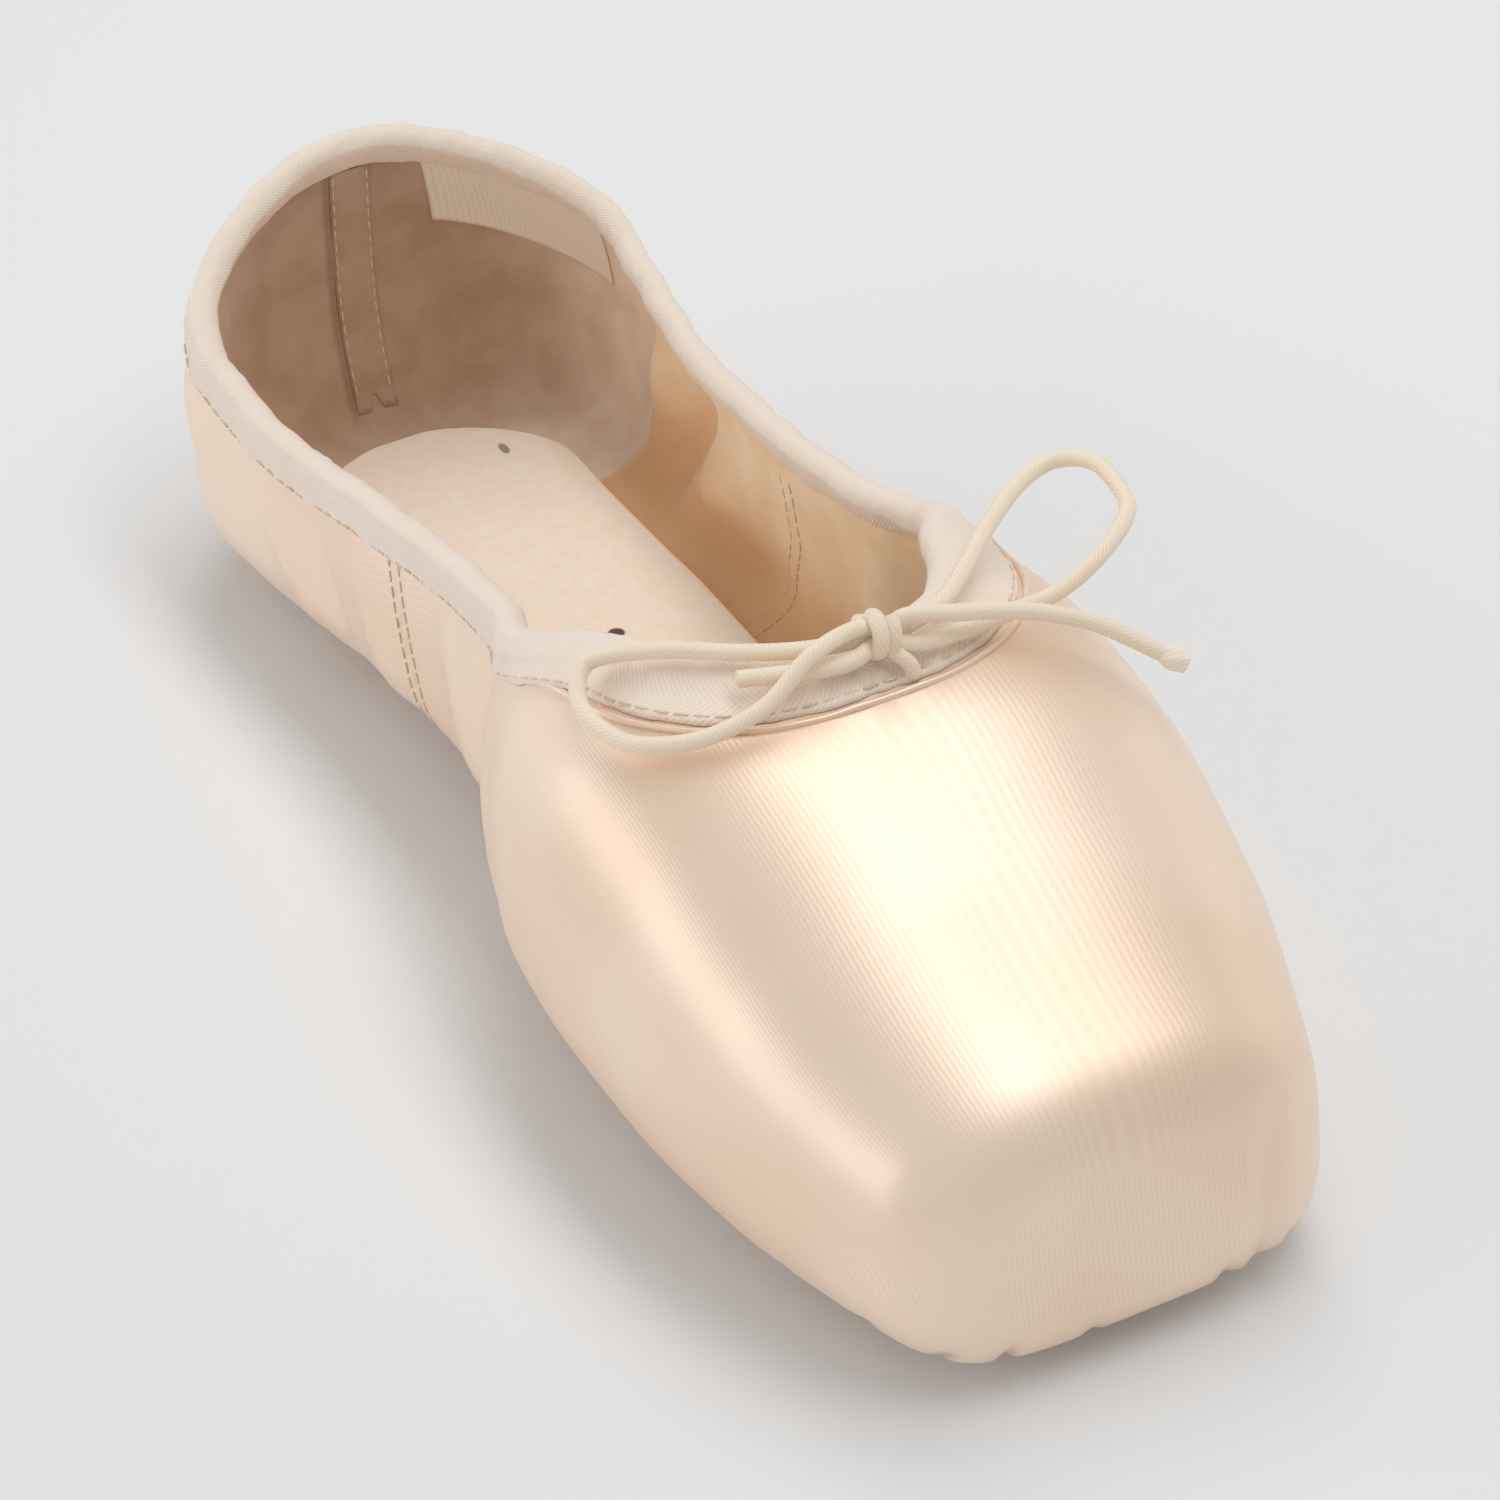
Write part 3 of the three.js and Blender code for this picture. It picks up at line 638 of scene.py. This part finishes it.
def surface_frame(x, turn):
    """The last's directions per unit of x and of turn, and its outward normal."""
    step = 0.02
    x = np.clip(x, 2 * step - HALF_LENGTH, HALF_LENGTH - 2 * step)
    turn = np.maximum(turn, step / 2)
    by_x = (last_point(x + step, turn) - last_point(x - step, turn)) / (2 * step)
    by_turn = (last_point(x, turn + step / 10) - last_point(x, turn - step / 10)) / (step / 5)
    out = np.cross(by_x, by_turn)
    return by_x, by_turn, out / np.linalg.norm(out, axis=-1, keepdims=True)


def on_wall(x, z, side, off):
    """Points at height z of one side wall, set off it, folds and all."""
    x, z = np.broadcast_arrays(np.asarray(x, float), np.asarray(z, float))
    from_middle = 0.02
    turns = np.linspace(from_middle, np.pi - from_middle, 400)
    flat_x, flat_z = x.ravel(), z.ravel()
    turn = np.array([np.interp(-h, -last_point(a, turns)[:, 2], turns) for a, h in zip(flat_x, flat_z)])
    points = last_point(flat_x, turn)
    out = surface_frame(flat_x, turn)[2]
    points[:, 1] *= side
    out[:, 1] *= side
    lift = relief(points) + (off if np.isscalar(off) else off.ravel())
    return (points + out * lift[:, None]).reshape(*x.shape, 3)


# ---- upper ---------------------------------------------------------------------------------
# How finely the upper is divided: columns along each stretch, and points down each column.
UPPER_GRID = {"heel": 26, "throat": 26, "toe": 12, "down": 84, "middle": 40, "platform": 14}
THROAT_START = 20  # where the columns start to close up towards the throat


def build_upper():
    def spaced(start, end, step):
        return np.linspace(start, end, max(2, round((end - start) / step) + 1))[:-1]

    heel_end, toe_start = HEEL_RADIUS - HALF_LENGTH, HALF_LENGTH - PLATFORM_EDGE
    round_heel = np.linspace(0, np.pi / 2, UPPER_GRID["heel"])[:-1]
    round_throat = np.linspace(0, np.pi / 2, UPPER_GRID["throat"])[:-1]
    round_toe = np.linspace(0, np.pi / 2, UPPER_GRID["toe"])
    xs = np.concatenate([
        -HALF_LENGTH + HEEL_RADIUS * (1 - np.cos(round_heel)),
        spaced(heel_end, THROAT_START, 1.1),
        THROAT_START + (THROAT["front"] - THROAT_START) * np.sin(round_throat),
        spaced(THROAT["front"], toe_start, 1.2),
        toe_start + PLATFORM_EDGE * np.sin(round_toe),
    ])
    start, end = collar_turn(xs), feather_turn(xs)
    share = np.linspace(0, 1, UPPER_GRID["down"])
    turns = start[:, None] + (end - start)[:, None] * share
    half = last_point(xs[:, None], turns)
    girth = arc_lengths(last_point(xs[:, None], share * np.pi), 1)
    around = girth[:, -1:] * turns / np.pi
    middle = UPPER_GRID["middle"]
    length = arc_lengths(half[:, middle : middle + 1], 0)
    surface = Surface()
    for side in (1, -1):
        points = half * (1, side, 1)
        cloth = np.stack(np.broadcast_arrays(length, side * around), -1)
        surface.grid(points, cloth, 0, flip=side < 0)
        rim = points[-1]
        centre = (rim[0] * (1, 0, 1) + rim[-1] * (1, 0, 1)) / 2
        inwards = np.linspace(0, 1, UPPER_GRID["platform"])[:, None, None]
        face = rim[None] * (1 - inwards) + centre * inwards
        cloth = np.stack([length[-1, 0] + centre[2] - face[..., 2], face[..., 1]], -1)
        surface.grid(face, cloth, 0, flip=side < 0)

    def wall(points):
        return wall_at(points[:, 0], points[:, 2])

    piece = surface.build("satin_upper", [satin(), lining()], relief, wall, inner_slot=1)
    return finish_piece(piece, "satin", "upper")


build_upper()


# ---- collar binding ------------------------------------------------------------------------
BINDING = {"outside": 5, "throat": 8.5, "inside": 3.5, "roll": 1.3, "bulge": 1.08}
THROAT_LEG = (14, 40)  # where the outer leg grows to its length at the throat
# Both legs, as shares of the leg's length down the wall and heights off it, and the roll
# between them, in degrees round the upper's edge.
OUTER_LEG = [(1.02, 0.1), (1.0, 0.6), (0.9, 0.9), (0.7, 1.0), (0.5, 1.15), (0.33, 1.4)]
ROLL = (12, 40, 68, 95, 122, 150, 172)
INNER_LEG = [(0.5, 1.2), (0.7, 1.0), (0.95, 0.7), (1.0, 0.1)]
PUCKERS = {"broad": 0.18, "fine": 0.07, "knot": 0.35, "knot_at": (50, 4), "knot_reach": (6, 9)}


def leg(x):
    """How far the binding's outer leg reaches down the wall."""
    return BINDING["outside"] + (BINDING["throat"] - BINDING["outside"]) * ease(*THROAT_LEG, x)


def walk(x, turn, along, distance):
    """Over the last from the collar's edge, straight away from the opening."""
    steps, heading = 8, None
    for _ in range(steps):
        by_x, by_turn, out = surface_frame(x, turn)
        heading = np.cross(out, along) if heading is None else heading
        heading = heading - out * np.sum(heading * out, -1, keepdims=True)
        heading /= np.linalg.norm(heading, axis=-1, keepdims=True)
        heading *= np.broadcast_to(distance, turn.shape)[:, None] / steps
        a, b, c = (np.sum(p * q, -1) for p, q in ((by_x, by_x), (by_x, by_turn), (by_turn, by_turn)))
        p, q = np.sum(by_x * heading, -1), np.sum(by_turn * heading, -1)
        x = x + (c * p - b * q) / (a * c - b * b)
        turn = turn + (a * q - b * p) / (a * c - b * b)
    return x, turn


def collar_edge(count):
    """Even steps along half the collar's edge, heel to throat: places and directions."""
    share = (1 - np.cos(np.linspace(0, np.pi, 801))) / 2
    x = (THROAT["front"] + HALF_LENGTH) * share - HALF_LENGTH
    turn = collar_turn(x)
    turn[-1] = 0
    points = last_point(x, turn)
    run = arc_lengths(points, 0)
    want = np.linspace(0, run[-1], count + 1)
    at = np.stack([np.interp(want, run, points[:, i]) for i in range(3)], -1)
    along = np.gradient(at, axis=0)
    along[0], along[-1] = (0, 1, 0), (0, -1, 0)
    along /= np.linalg.norm(along, axis=1, keepdims=True)
    return np.interp(want, run, x), np.interp(want, run, turn), along, want


def collar_line(edge, distance, off):
    """The edge walked down the wall and set off it; all the way round the collar."""
    x, turn, along, _ = edge
    if np.any(distance):
        x, turn = walk(x, turn, along, distance)
    points, out = last_point(x, turn), surface_frame(x, turn)[2]
    for ends in (points, out):
        ends[0, 1] = ends[-1, 1] = 0
    points = points + out * off[:, None]
    return np.concatenate([points, (points * (1, -1, 1))[-2::-1]]), out


def smooth_rows(rows, per_span):
    """Catmull-Rom through each row's points."""
    p = np.concatenate([2 * rows[:, :1] - rows[:, 1:2], rows, 2 * rows[:, -1:] - rows[:, -2:-1]], 1)
    out = []
    for t in np.linspace(0, 1, per_span, endpoint=False):
        a, b, c, d = p[:, :-3], p[:, 1:-2], p[:, 2:-1], p[:, 3:]
        out.append(catmull_rom(a, b, c, d, t))
    inner = np.stack(out, 2).reshape(len(rows), -1, 3)
    return np.concatenate([inner, rows[:, -1:]], 1)


def build_binding():
    edge = collar_edge(300)
    wall = wall_at(edge[0])
    reach = leg(edge[0])
    outer = [collar_line(edge, reach * share, np.full(len(wall), off))[0] for share, off in OUTER_LEG]
    inner = [collar_line(edge, BINDING["inside"] * share, -wall - off)[0] for share, off in INNER_LEG]
    rim, out = collar_line(edge, 0, -wall / 2)
    below_rim, _ = collar_line(edge, 3, -wall / 2)
    up = rim - below_rim
    up /= np.linalg.norm(up, axis=1, keepdims=True)
    out = np.concatenate([out, (out * (1, -1, 1))[-2::-1]])
    radius = (np.concatenate([wall, wall[-2::-1]]) / 2 + BINDING["roll"])[:, None]
    roll = [
        rim + out * radius * BINDING["bulge"] * math.cos(angle) + up * radius * math.sin(angle)
        for angle in map(math.radians, ROLL)
    ]
    rows = smooth_rows(np.stack([*outer, *roll, *inner], 1), 3)
    run = np.concatenate([edge[3], 2 * edge[3][-1] - edge[3][-2::-1]])
    cloth = np.stack(np.broadcast_arrays(run[:, None], arc_lengths(rows, 1).mean(0)[None]), -1)

    def puckers(points):
        """Gathers of the tape, broad and fine, and ripples where the cord pulls it together."""
        x, y, z = points.T
        (knot_x, knot_y), (reach_x, reach_y) = PUCKERS["knot_at"], PUCKERS["knot_reach"]
        broad = np.sin(x * 0.55 + 1.3 * np.sin(z * 0.4)) * np.sin(y * 0.5 + x * 0.13)
        fine = np.sin(x * 1.9 + y * 1.3) * np.sin(z * 1.1 + y * 0.7)
        near_knot = np.exp(-(((x - knot_x) / reach_x) ** 2) - ((y - knot_y) / reach_y) ** 2)
        ripples = near_knot * PUCKERS["knot"] * np.sin(y * 1.6)
        return PUCKERS["broad"] * broad + PUCKERS["fine"] * fine + ripples

    surface = Surface().grid(rows, cloth, 0, flip=True)
    piece = surface.build("collar_tape", [twill()], puckers)
    finish_piece(piece, "twill", "collar_binding")
    return edge


collar = build_binding()


COLLAR_STITCH = {"length": 1.9, "gap": 0.8, "radius": 0.2}
SEAM_STITCH = {"length": 1.6, "gap": 0.7, "radius": 0.16}
HEEL_STITCH = {"length": 1.6, "gap": 0.9, "radius": 0.15}
BINDING_SEAM = {"in_from_edge": 0.6, "off": 0.92}
SIDE_ROWS = {"beside": (-1.5, 1.5), "foot": 7, "off": 0.08}


def stitches(surface, line, length, gap, radius):
    """A row of sewn stitches along a line, each one thinner towards its ends."""
    def taper(along, _):
        return 0.5 + 0.5 * np.sin(np.pi * np.clip(along / length, 0.15, 0.85))

    run = arc_lengths(line, 0)
    for start in np.arange(gap, run[-1] - length, length + gap):
        at = np.linspace(start, start + length, 5)
        path = np.stack([np.interp(at, run, line[:, i]) for i in range(3)], -1)
        tube(surface, path, radius, 6, taper)
    return surface


def build_stitches():
    rows = Surface()
    reach = leg(collar[0]) - BINDING_SEAM["in_from_edge"]
    foot, _ = collar_line(collar, reach, np.full(len(reach), BINDING_SEAM["off"]))
    stitches(rows, foot, **COLLAR_STITCH)
    for side, name in ((1, "left"), (-1, "right")):
        heights = np.linspace(SIDE_SEAM["z"][-1], SIDE_ROWS["foot"], 30)
        seam = np.interp(heights, SIDE_SEAM["z"], SIDE_SEAM[name])
        for beside in SIDE_ROWS["beside"]:
            for off in (SIDE_ROWS["off"], -QUARTER_WALL - SIDE_ROWS["off"]):
                stitches(rows, on_wall(seam + beside, heights, side, off), **SEAM_STITCH)
    piece = rows.build("stitches", [thread()])
    return finish_piece(piece, "twill")


build_stitches()


# ---- soles ---------------------------------------------------------------------------------
NAIL_HOLES = [
    {"x": -37.6, "y": 5.0, "half": 1.3, "long": 1.0, "dark": 1.0},
    {"x": -94.5, "y": 12.8, "half": 0.7, "long": 0.45, "dark": 0.7},
]


PLATE_GRID = {"along": 150, "across": 40}
LOWER_EDGE = 0.6  # a plate's lower rim is rounded by this share of its upper one
INSOLE_LIFT = 0.4  # between the upper's inside and the insole
INSOLE_EDGE = 0.9
OUTSOLE_EDGE = 0.5


def plate(table, low, high, edge):
    """A plate with rounded rims between two height functions."""
    start, end = table["x"][0], table["x"][-1]
    x = start + (end - start) * (1 - np.cos(np.linspace(0, np.pi, PLATE_GRID["along"]))) / 2
    half = plate_half(table, x)
    across = np.sin(np.linspace(-np.pi / 2, np.pi / 2, PLATE_GRID["across"]))
    y = half[:, None] * across
    from_ends = np.minimum(x - start, end - x)[:, None] + 0.02
    from_rim = np.minimum(half[:, None] * (1 - np.abs(across)), from_ends)
    drawn = round_in(edge, from_rim)
    x = np.broadcast_to(x[:, None], y.shape)
    top = np.stack([x, y, high(x, y) - drawn], -1)
    bottom = np.stack([x, y, low(x, y) + drawn * LOWER_EDGE], -1)
    cloth = np.stack([x, y], -1)
    surface = Surface().grid(top, cloth).grid(bottom, cloth, flip=True)
    for column, first, second in ((0, bottom, top), (-1, top, bottom)):
        rim = np.stack([first[:, column], second[:, column]], 1)
        surface.grid(rim, np.stack([cloth[:, column], cloth[:, column]], 1))
    return surface


def build_soles():
    def under_insole(x, y):
        return underside(x, y) + QUARTER_WALL + INSOLE_LIFT

    def over_insole(x, y):
        uneven = 0.12 * np.sin(x * 0.11 + 1) * np.sin(y * 0.16 + 0.5)
        return under_insole(x, y) + INSOLE["thick"] + uneven

    def tread(x, _):
        t = np.clip((x - ARCH["from"]) / (ARCH["to"] - ARCH["from"]), 0, 1)
        spring = TOE_SPRING["rise"] * ease(TOE_SPRING["from"], TOE_SPRING["to"], x)
        return ARCH["rise"] * np.sin(np.pi * t) ** 2 + spring

    def over_outsole(x, y):
        return underside(x, y) - SOLE_GAP

    insole = plate(INSOLE, under_insole, over_insole, INSOLE_EDGE)
    finish_piece(insole.build("insole_board", [suede()]), "insole_board", "insole")
    outsole = plate(OUTSOLE, tread, over_outsole, OUTSOLE_EDGE)
    finish_piece(outsole.build("outsole_sheet", [leather()]), "outsole_leather", "outsole")


build_soles()

# ---- drawstring ----------------------------------------------------------------------------
CORD = 2.2
KNOT = (52, 2.5, 64.4)
LEFT_LOOP = [
    (51.6, -1.4, 65.3), (54, -8, 65.4), (55.4, -15, 61.5), (54.4, -23, 59.2), (50, -29.5, 58),
    (44, -32, 57.8), (38, -32, 58.2), (34.5, -29.5, 60.2), (36, -26, 61.6), (40.5, -20.5, 63),
    (45.5, -14, 63.2), (49, -7.5, 63.2), (50.4, -1.6, 63),
]
RIGHT_LOOP = [
    (51.4, 6.6, 63.2), (49, 13, 63.2), (44, 19, 63.3), (38.5, 25, 63.8), (33, 32.5, 64.4),
    (31.4, 38.5, 65.2), (35, 42.2, 66), (41, 42.4, 66), (47, 40.5, 65.5), (51.5, 34, 64),
    (53.2, 27, 62), (53, 20, 61.2), (53.4, 13.5, 61.2), (54.2, 7, 62.2),
]
LONG_END = [
    (53, 6.5, 65.8), (55, 12.5, 65.2), (56.6, 18, 64.4), (58, 23, 63), (60, 28, 61), (62.5, 32, 58.6),
    (65.5, 36, 56),
]
SHORT_END = [(53.6, -1.5, 62.6), (53.6, -5, 62.5), (52, -10, 62.5), (50, -16, 62.7)]


CORD_SPACING = 0.35
KNOT_TURNS = {"from": -0.6, "to": 1.2, "radius": 2.1, "pitch": 1.6}
KNOT_STEM = [(53.4, 2.6, 62.8), (54.8, 3.8, 61.8), (55.6, 4.8, 60.6), (55.6, 5.2, 58.8)]
TIP = [(64.6, 35, 56.8), (65.5, 36, 56.1), (66.7, 37.4, 55.2)]
TIP_LENGTH = 3.4


def plaits(run, angle):
    """The braid's small bumps, as a share of the cord's radius."""
    return 1 + 0.05 * np.cos(4 * angle + run * 4.2) * np.cos(4 * angle - run * 4.2)


def frayed(run, angle):
    swell = 0.4 * np.sin(np.pi * np.clip(run / TIP_LENGTH, 0, 1)) ** 0.8
    return 1.02 + swell + 0.09 * np.cos(5 * angle + 2 * run)


def build_cord(name, points, nodes):
    line = smooth_line(points, CORD_SPACING)
    piece = tube(Surface(), line, CORD / 2, 20, plaits).build(name, [braid(name, 0xF8E9D4, 0xE6CBA9)])
    finish_piece(piece, "cord", *nodes)
    length = arc_lengths(line, 0)[-1] * MM


def build_bow():
    x, y, z = KNOT
    turns = np.linspace(KNOT_TURNS["from"], KNOT_TURNS["to"], 40)
    wraps = np.stack([
        x + 0.4 + KNOT_TURNS["radius"] * np.cos(2 * np.pi * turns),
        y - 0.9 + KNOT_TURNS["pitch"] * turns,
        z - 0.1 + KNOT_TURNS["radius"] * np.sin(2 * np.pi * turns),
    ], -1)
    surface = Surface()
    for points, radius in ((wraps, CORD / 2), (KNOT_STEM, CORD / 2 * 0.9)):
        tube(surface, smooth_line(points, CORD_SPACING), radius, 20, plaits)
    knot = surface.build("bow_knot", [braid("knot_braid", 0xF6E6D0, 0xE2C5A2)])
    finish_piece(knot, "cord", "drawstring_knot")
    tip = tube(Surface(), smooth_line(TIP, 0.2), CORD / 2, 24, frayed)
    tip = finish_piece(tip.build("cord_tip", [braid("tip_braid", 0xFBF0E0, 0xE8D2B6)]), "cord")
    # Each cord passes twice through the knot: at its start, and between its loop and its end.
    left = [(x, y + 1, z + 0.5), *LEFT_LOOP]
    left += [(x - 0.6, y, z - 0.6), (x + 0.3, y + 1.5, z + 0.4), *LONG_END]
    right = [(x, y - 1, z - 0.6), (x, y + 1.5, z - 0.7), *RIGHT_LOOP]
    right += [(x + 0.8, y, z - 1.3), *SHORT_END]
    build_cord("bow_cord_left", left, ["drawstring_loop_left", "drawstring_end_long"])
    build_cord("bow_cord_right", right, ["drawstring_loop_right", "drawstring_end_short"])


build_bow()


# ---- label patch ---------------------------------------------------------------------------
LABEL = {"round": (22, 72), "below": 3.2, "deep": 12}  # degrees round the heel from its back
TAPE_THICK = 0.15


def tape_wall(points):
    return np.full(len(points), TAPE_THICK)


def build_label():
    """A blank label on the heel's lining, standing off it a little more towards its foot."""
    round_heel = np.radians(np.linspace(*LABEL["round"], 40))
    round_heel, down = np.meshgrid(round_heel, np.linspace(0, 1, 18), indexing="ij")
    x = HEEL_RADIUS * (1 - np.cos(round_heel)) - HALF_LENGTH
    z = read(COLLAR, "height", x) - LABEL["below"] - LABEL["deep"] * down
    loose = 0.08 + 0.12 * down**2
    points = on_wall(x, z, 1, -QUARTER_WALL - loose)
    surface = Surface().grid(points, np.stack([x, z], -1))
    finish_piece(surface.build("label_patch", [label_tape()], wall=tape_wall), "twill")


build_label()


# ---- heel seam and throat piping -----------------------------------------------------------
HEEL_TAPE = {"half": 3.4, "top": 51, "foot": 7.2, "flat": 0.02, "thick": 0.4, "flush": (7, 14)}
HEEL_ROWS = {"beside": (-2.9, 2.9), "foot": 9}
HEEL_BACK = 18  # how far along the shoe the heel's back is searched


def heel_back(across, z, off):
    """Points on the heel's back, these distances across it from its centre."""
    across, z = np.broadcast_arrays(np.asarray(across, float), np.asarray(z, float))
    back = HEEL_BACK * np.linspace(0.02, 1, 40) ** 2 - HALF_LENGTH
    x = np.empty(z.shape)
    for height in np.unique(z):
        reach = np.maximum.accumulate(on_wall(back, height, 1, 0)[:, 1]) + 1e-6 * np.arange(len(back))
        x[z == height] = np.interp(np.abs(across[z == height]), reach, back)
    side = np.where(across < 0, -1, 1)
    return on_wall(x, z, 1, off) * np.stack([np.ones_like(x), side, np.ones_like(x)], -1)


def build_heel_seam():
    """The tape over the centre back seam, thickest along its middle and flush at its foot."""
    heights = np.linspace(HEEL_TAPE["top"], HEEL_TAPE["foot"], 36)
    across = np.linspace(-HEEL_TAPE["half"], HEEL_TAPE["half"], 12)
    arch = HEEL_TAPE["thick"] * np.cos(across * np.pi / 7)[:, None] ** 0.6
    off = -QUARTER_WALL - HEEL_TAPE["flat"] - arch * ease(*HEEL_TAPE["flush"], heights)[None]
    points = heel_back(across[:, None], heights[None], off)
    cloth = np.stack(np.broadcast_arrays(across[:, None], heights[None]), -1)
    tape = Surface().grid(points, cloth).build("heel_tape", [lining()], wall=tape_wall)
    finish_piece(tape, "twill")
    rows = Surface()
    sewn = heights[heights > HEEL_ROWS["foot"]]
    for beside in HEEL_ROWS["beside"]:
        stitches(rows, heel_back(beside, sewn, -QUARTER_WALL - HEEL_TAPE["thick"]), **HEEL_STITCH)
    finish_piece(rows.build("heel_stitches", [thread()]), "twill")


build_heel_seam()


PIPING = {"from": (18, 34), "under": 0.6, "out": 1.9, "radius": 0.45, "off": 0.2, "crinkle": 0.12}


def build_piping():
    """A fine fold of satin round the throat, which comes out from under the binding's edge
    and lies just beyond it."""
    x, _, _, run = collar
    reach = leg(x) - PIPING["under"] + PIPING["out"] * ease(*PIPING["from"], x)
    crinkle = PIPING["off"] + PIPING["crinkle"] * np.sin(run * 0.9) * np.sin(run * 0.37)
    line, _ = collar_line(collar, reach, crinkle)
    line = line[line[:, 0] > PIPING["from"][0]]
    pipe = tube(Surface(), smooth_line(line[::4], 0.5), PIPING["radius"], 10)
    finish_piece(pipe.build("throat_piping", [satin()]), "satin")


build_piping()

# ---- floor and light -----------------------------------------------------------------------
LIGHTS = [
    {"name": "overhead", "towards": (-0.07, 0.24, 0.9), "away": 0.9, "size": (1.4, 0.25), "power": 4.3},
    {"name": "flank", "towards": (-0.3, -0.85, 0.24), "away": 1.2, "size": (1.5, 0.8), "power": 5.0},
    {"name": "front", "towards": (0.75, -0.45, 0.45), "away": 1.2, "size": (1.0, 1.0), "power": 0.6},
    {"name": "far_side", "towards": (0.1, 0.9, 0.3), "away": 1.2, "size": (1.2, 0.7), "power": 1.2},
]


FLOOR_HALF = 3000
SKY = {"colour": (1.0, 0.995, 0.99, 1), "strength": 0.44}


def build_stage():
    surface = Surface()
    side = np.linspace(-FLOOR_HALF, FLOOR_HALF, 3)
    x, y = np.meshgrid(side, side, indexing="ij")
    surface.grid(np.stack([x, y, np.zeros_like(x)], -1), np.stack([x, y], -1))
    p = Paint("floor_paper", 0xE2E0DF, 0.9, Specular_IOR_Level=0.1)
    p.link(p.mix(p.noise(400, 2), 0xECEDEE, 0xEEEFF0), "Base Color")
    floor = surface.build("floor", [p.material])
    world = bpy.data.worlds.new("studio")
    world.use_nodes = True
    background = world.node_tree.nodes["Background"]
    background.inputs["Color"].default_value = SKY["colour"]
    background.inputs["Strength"].default_value = SKY["strength"]
    bpy.context.scene.world = world
    for light in LIGHTS:
        data = bpy.data.lights.new(light["name"], "AREA")
        data.shape = "RECTANGLE"
        data.size, data.size_y = light["size"]
        data.energy = light["power"]
        lamp = bpy.data.objects.new(light["name"], data)
        direction = Vector(light["towards"]).normalized()
        lamp.location = direction * light["away"]
        lamp.rotation_mode = "QUATERNION"
        across = direction.cross((1, 0, 0)).normalized()
        axes = Matrix((across.cross(direction), across, direction)).transposed()
        lamp.rotation_quaternion = axes.to_quaternion()
        bpy.context.scene.collection.objects.link(lamp)
    bpy.context.scene.view_settings.view_transform = "Standard"


build_stage()

bpy.context.view_layer.update()
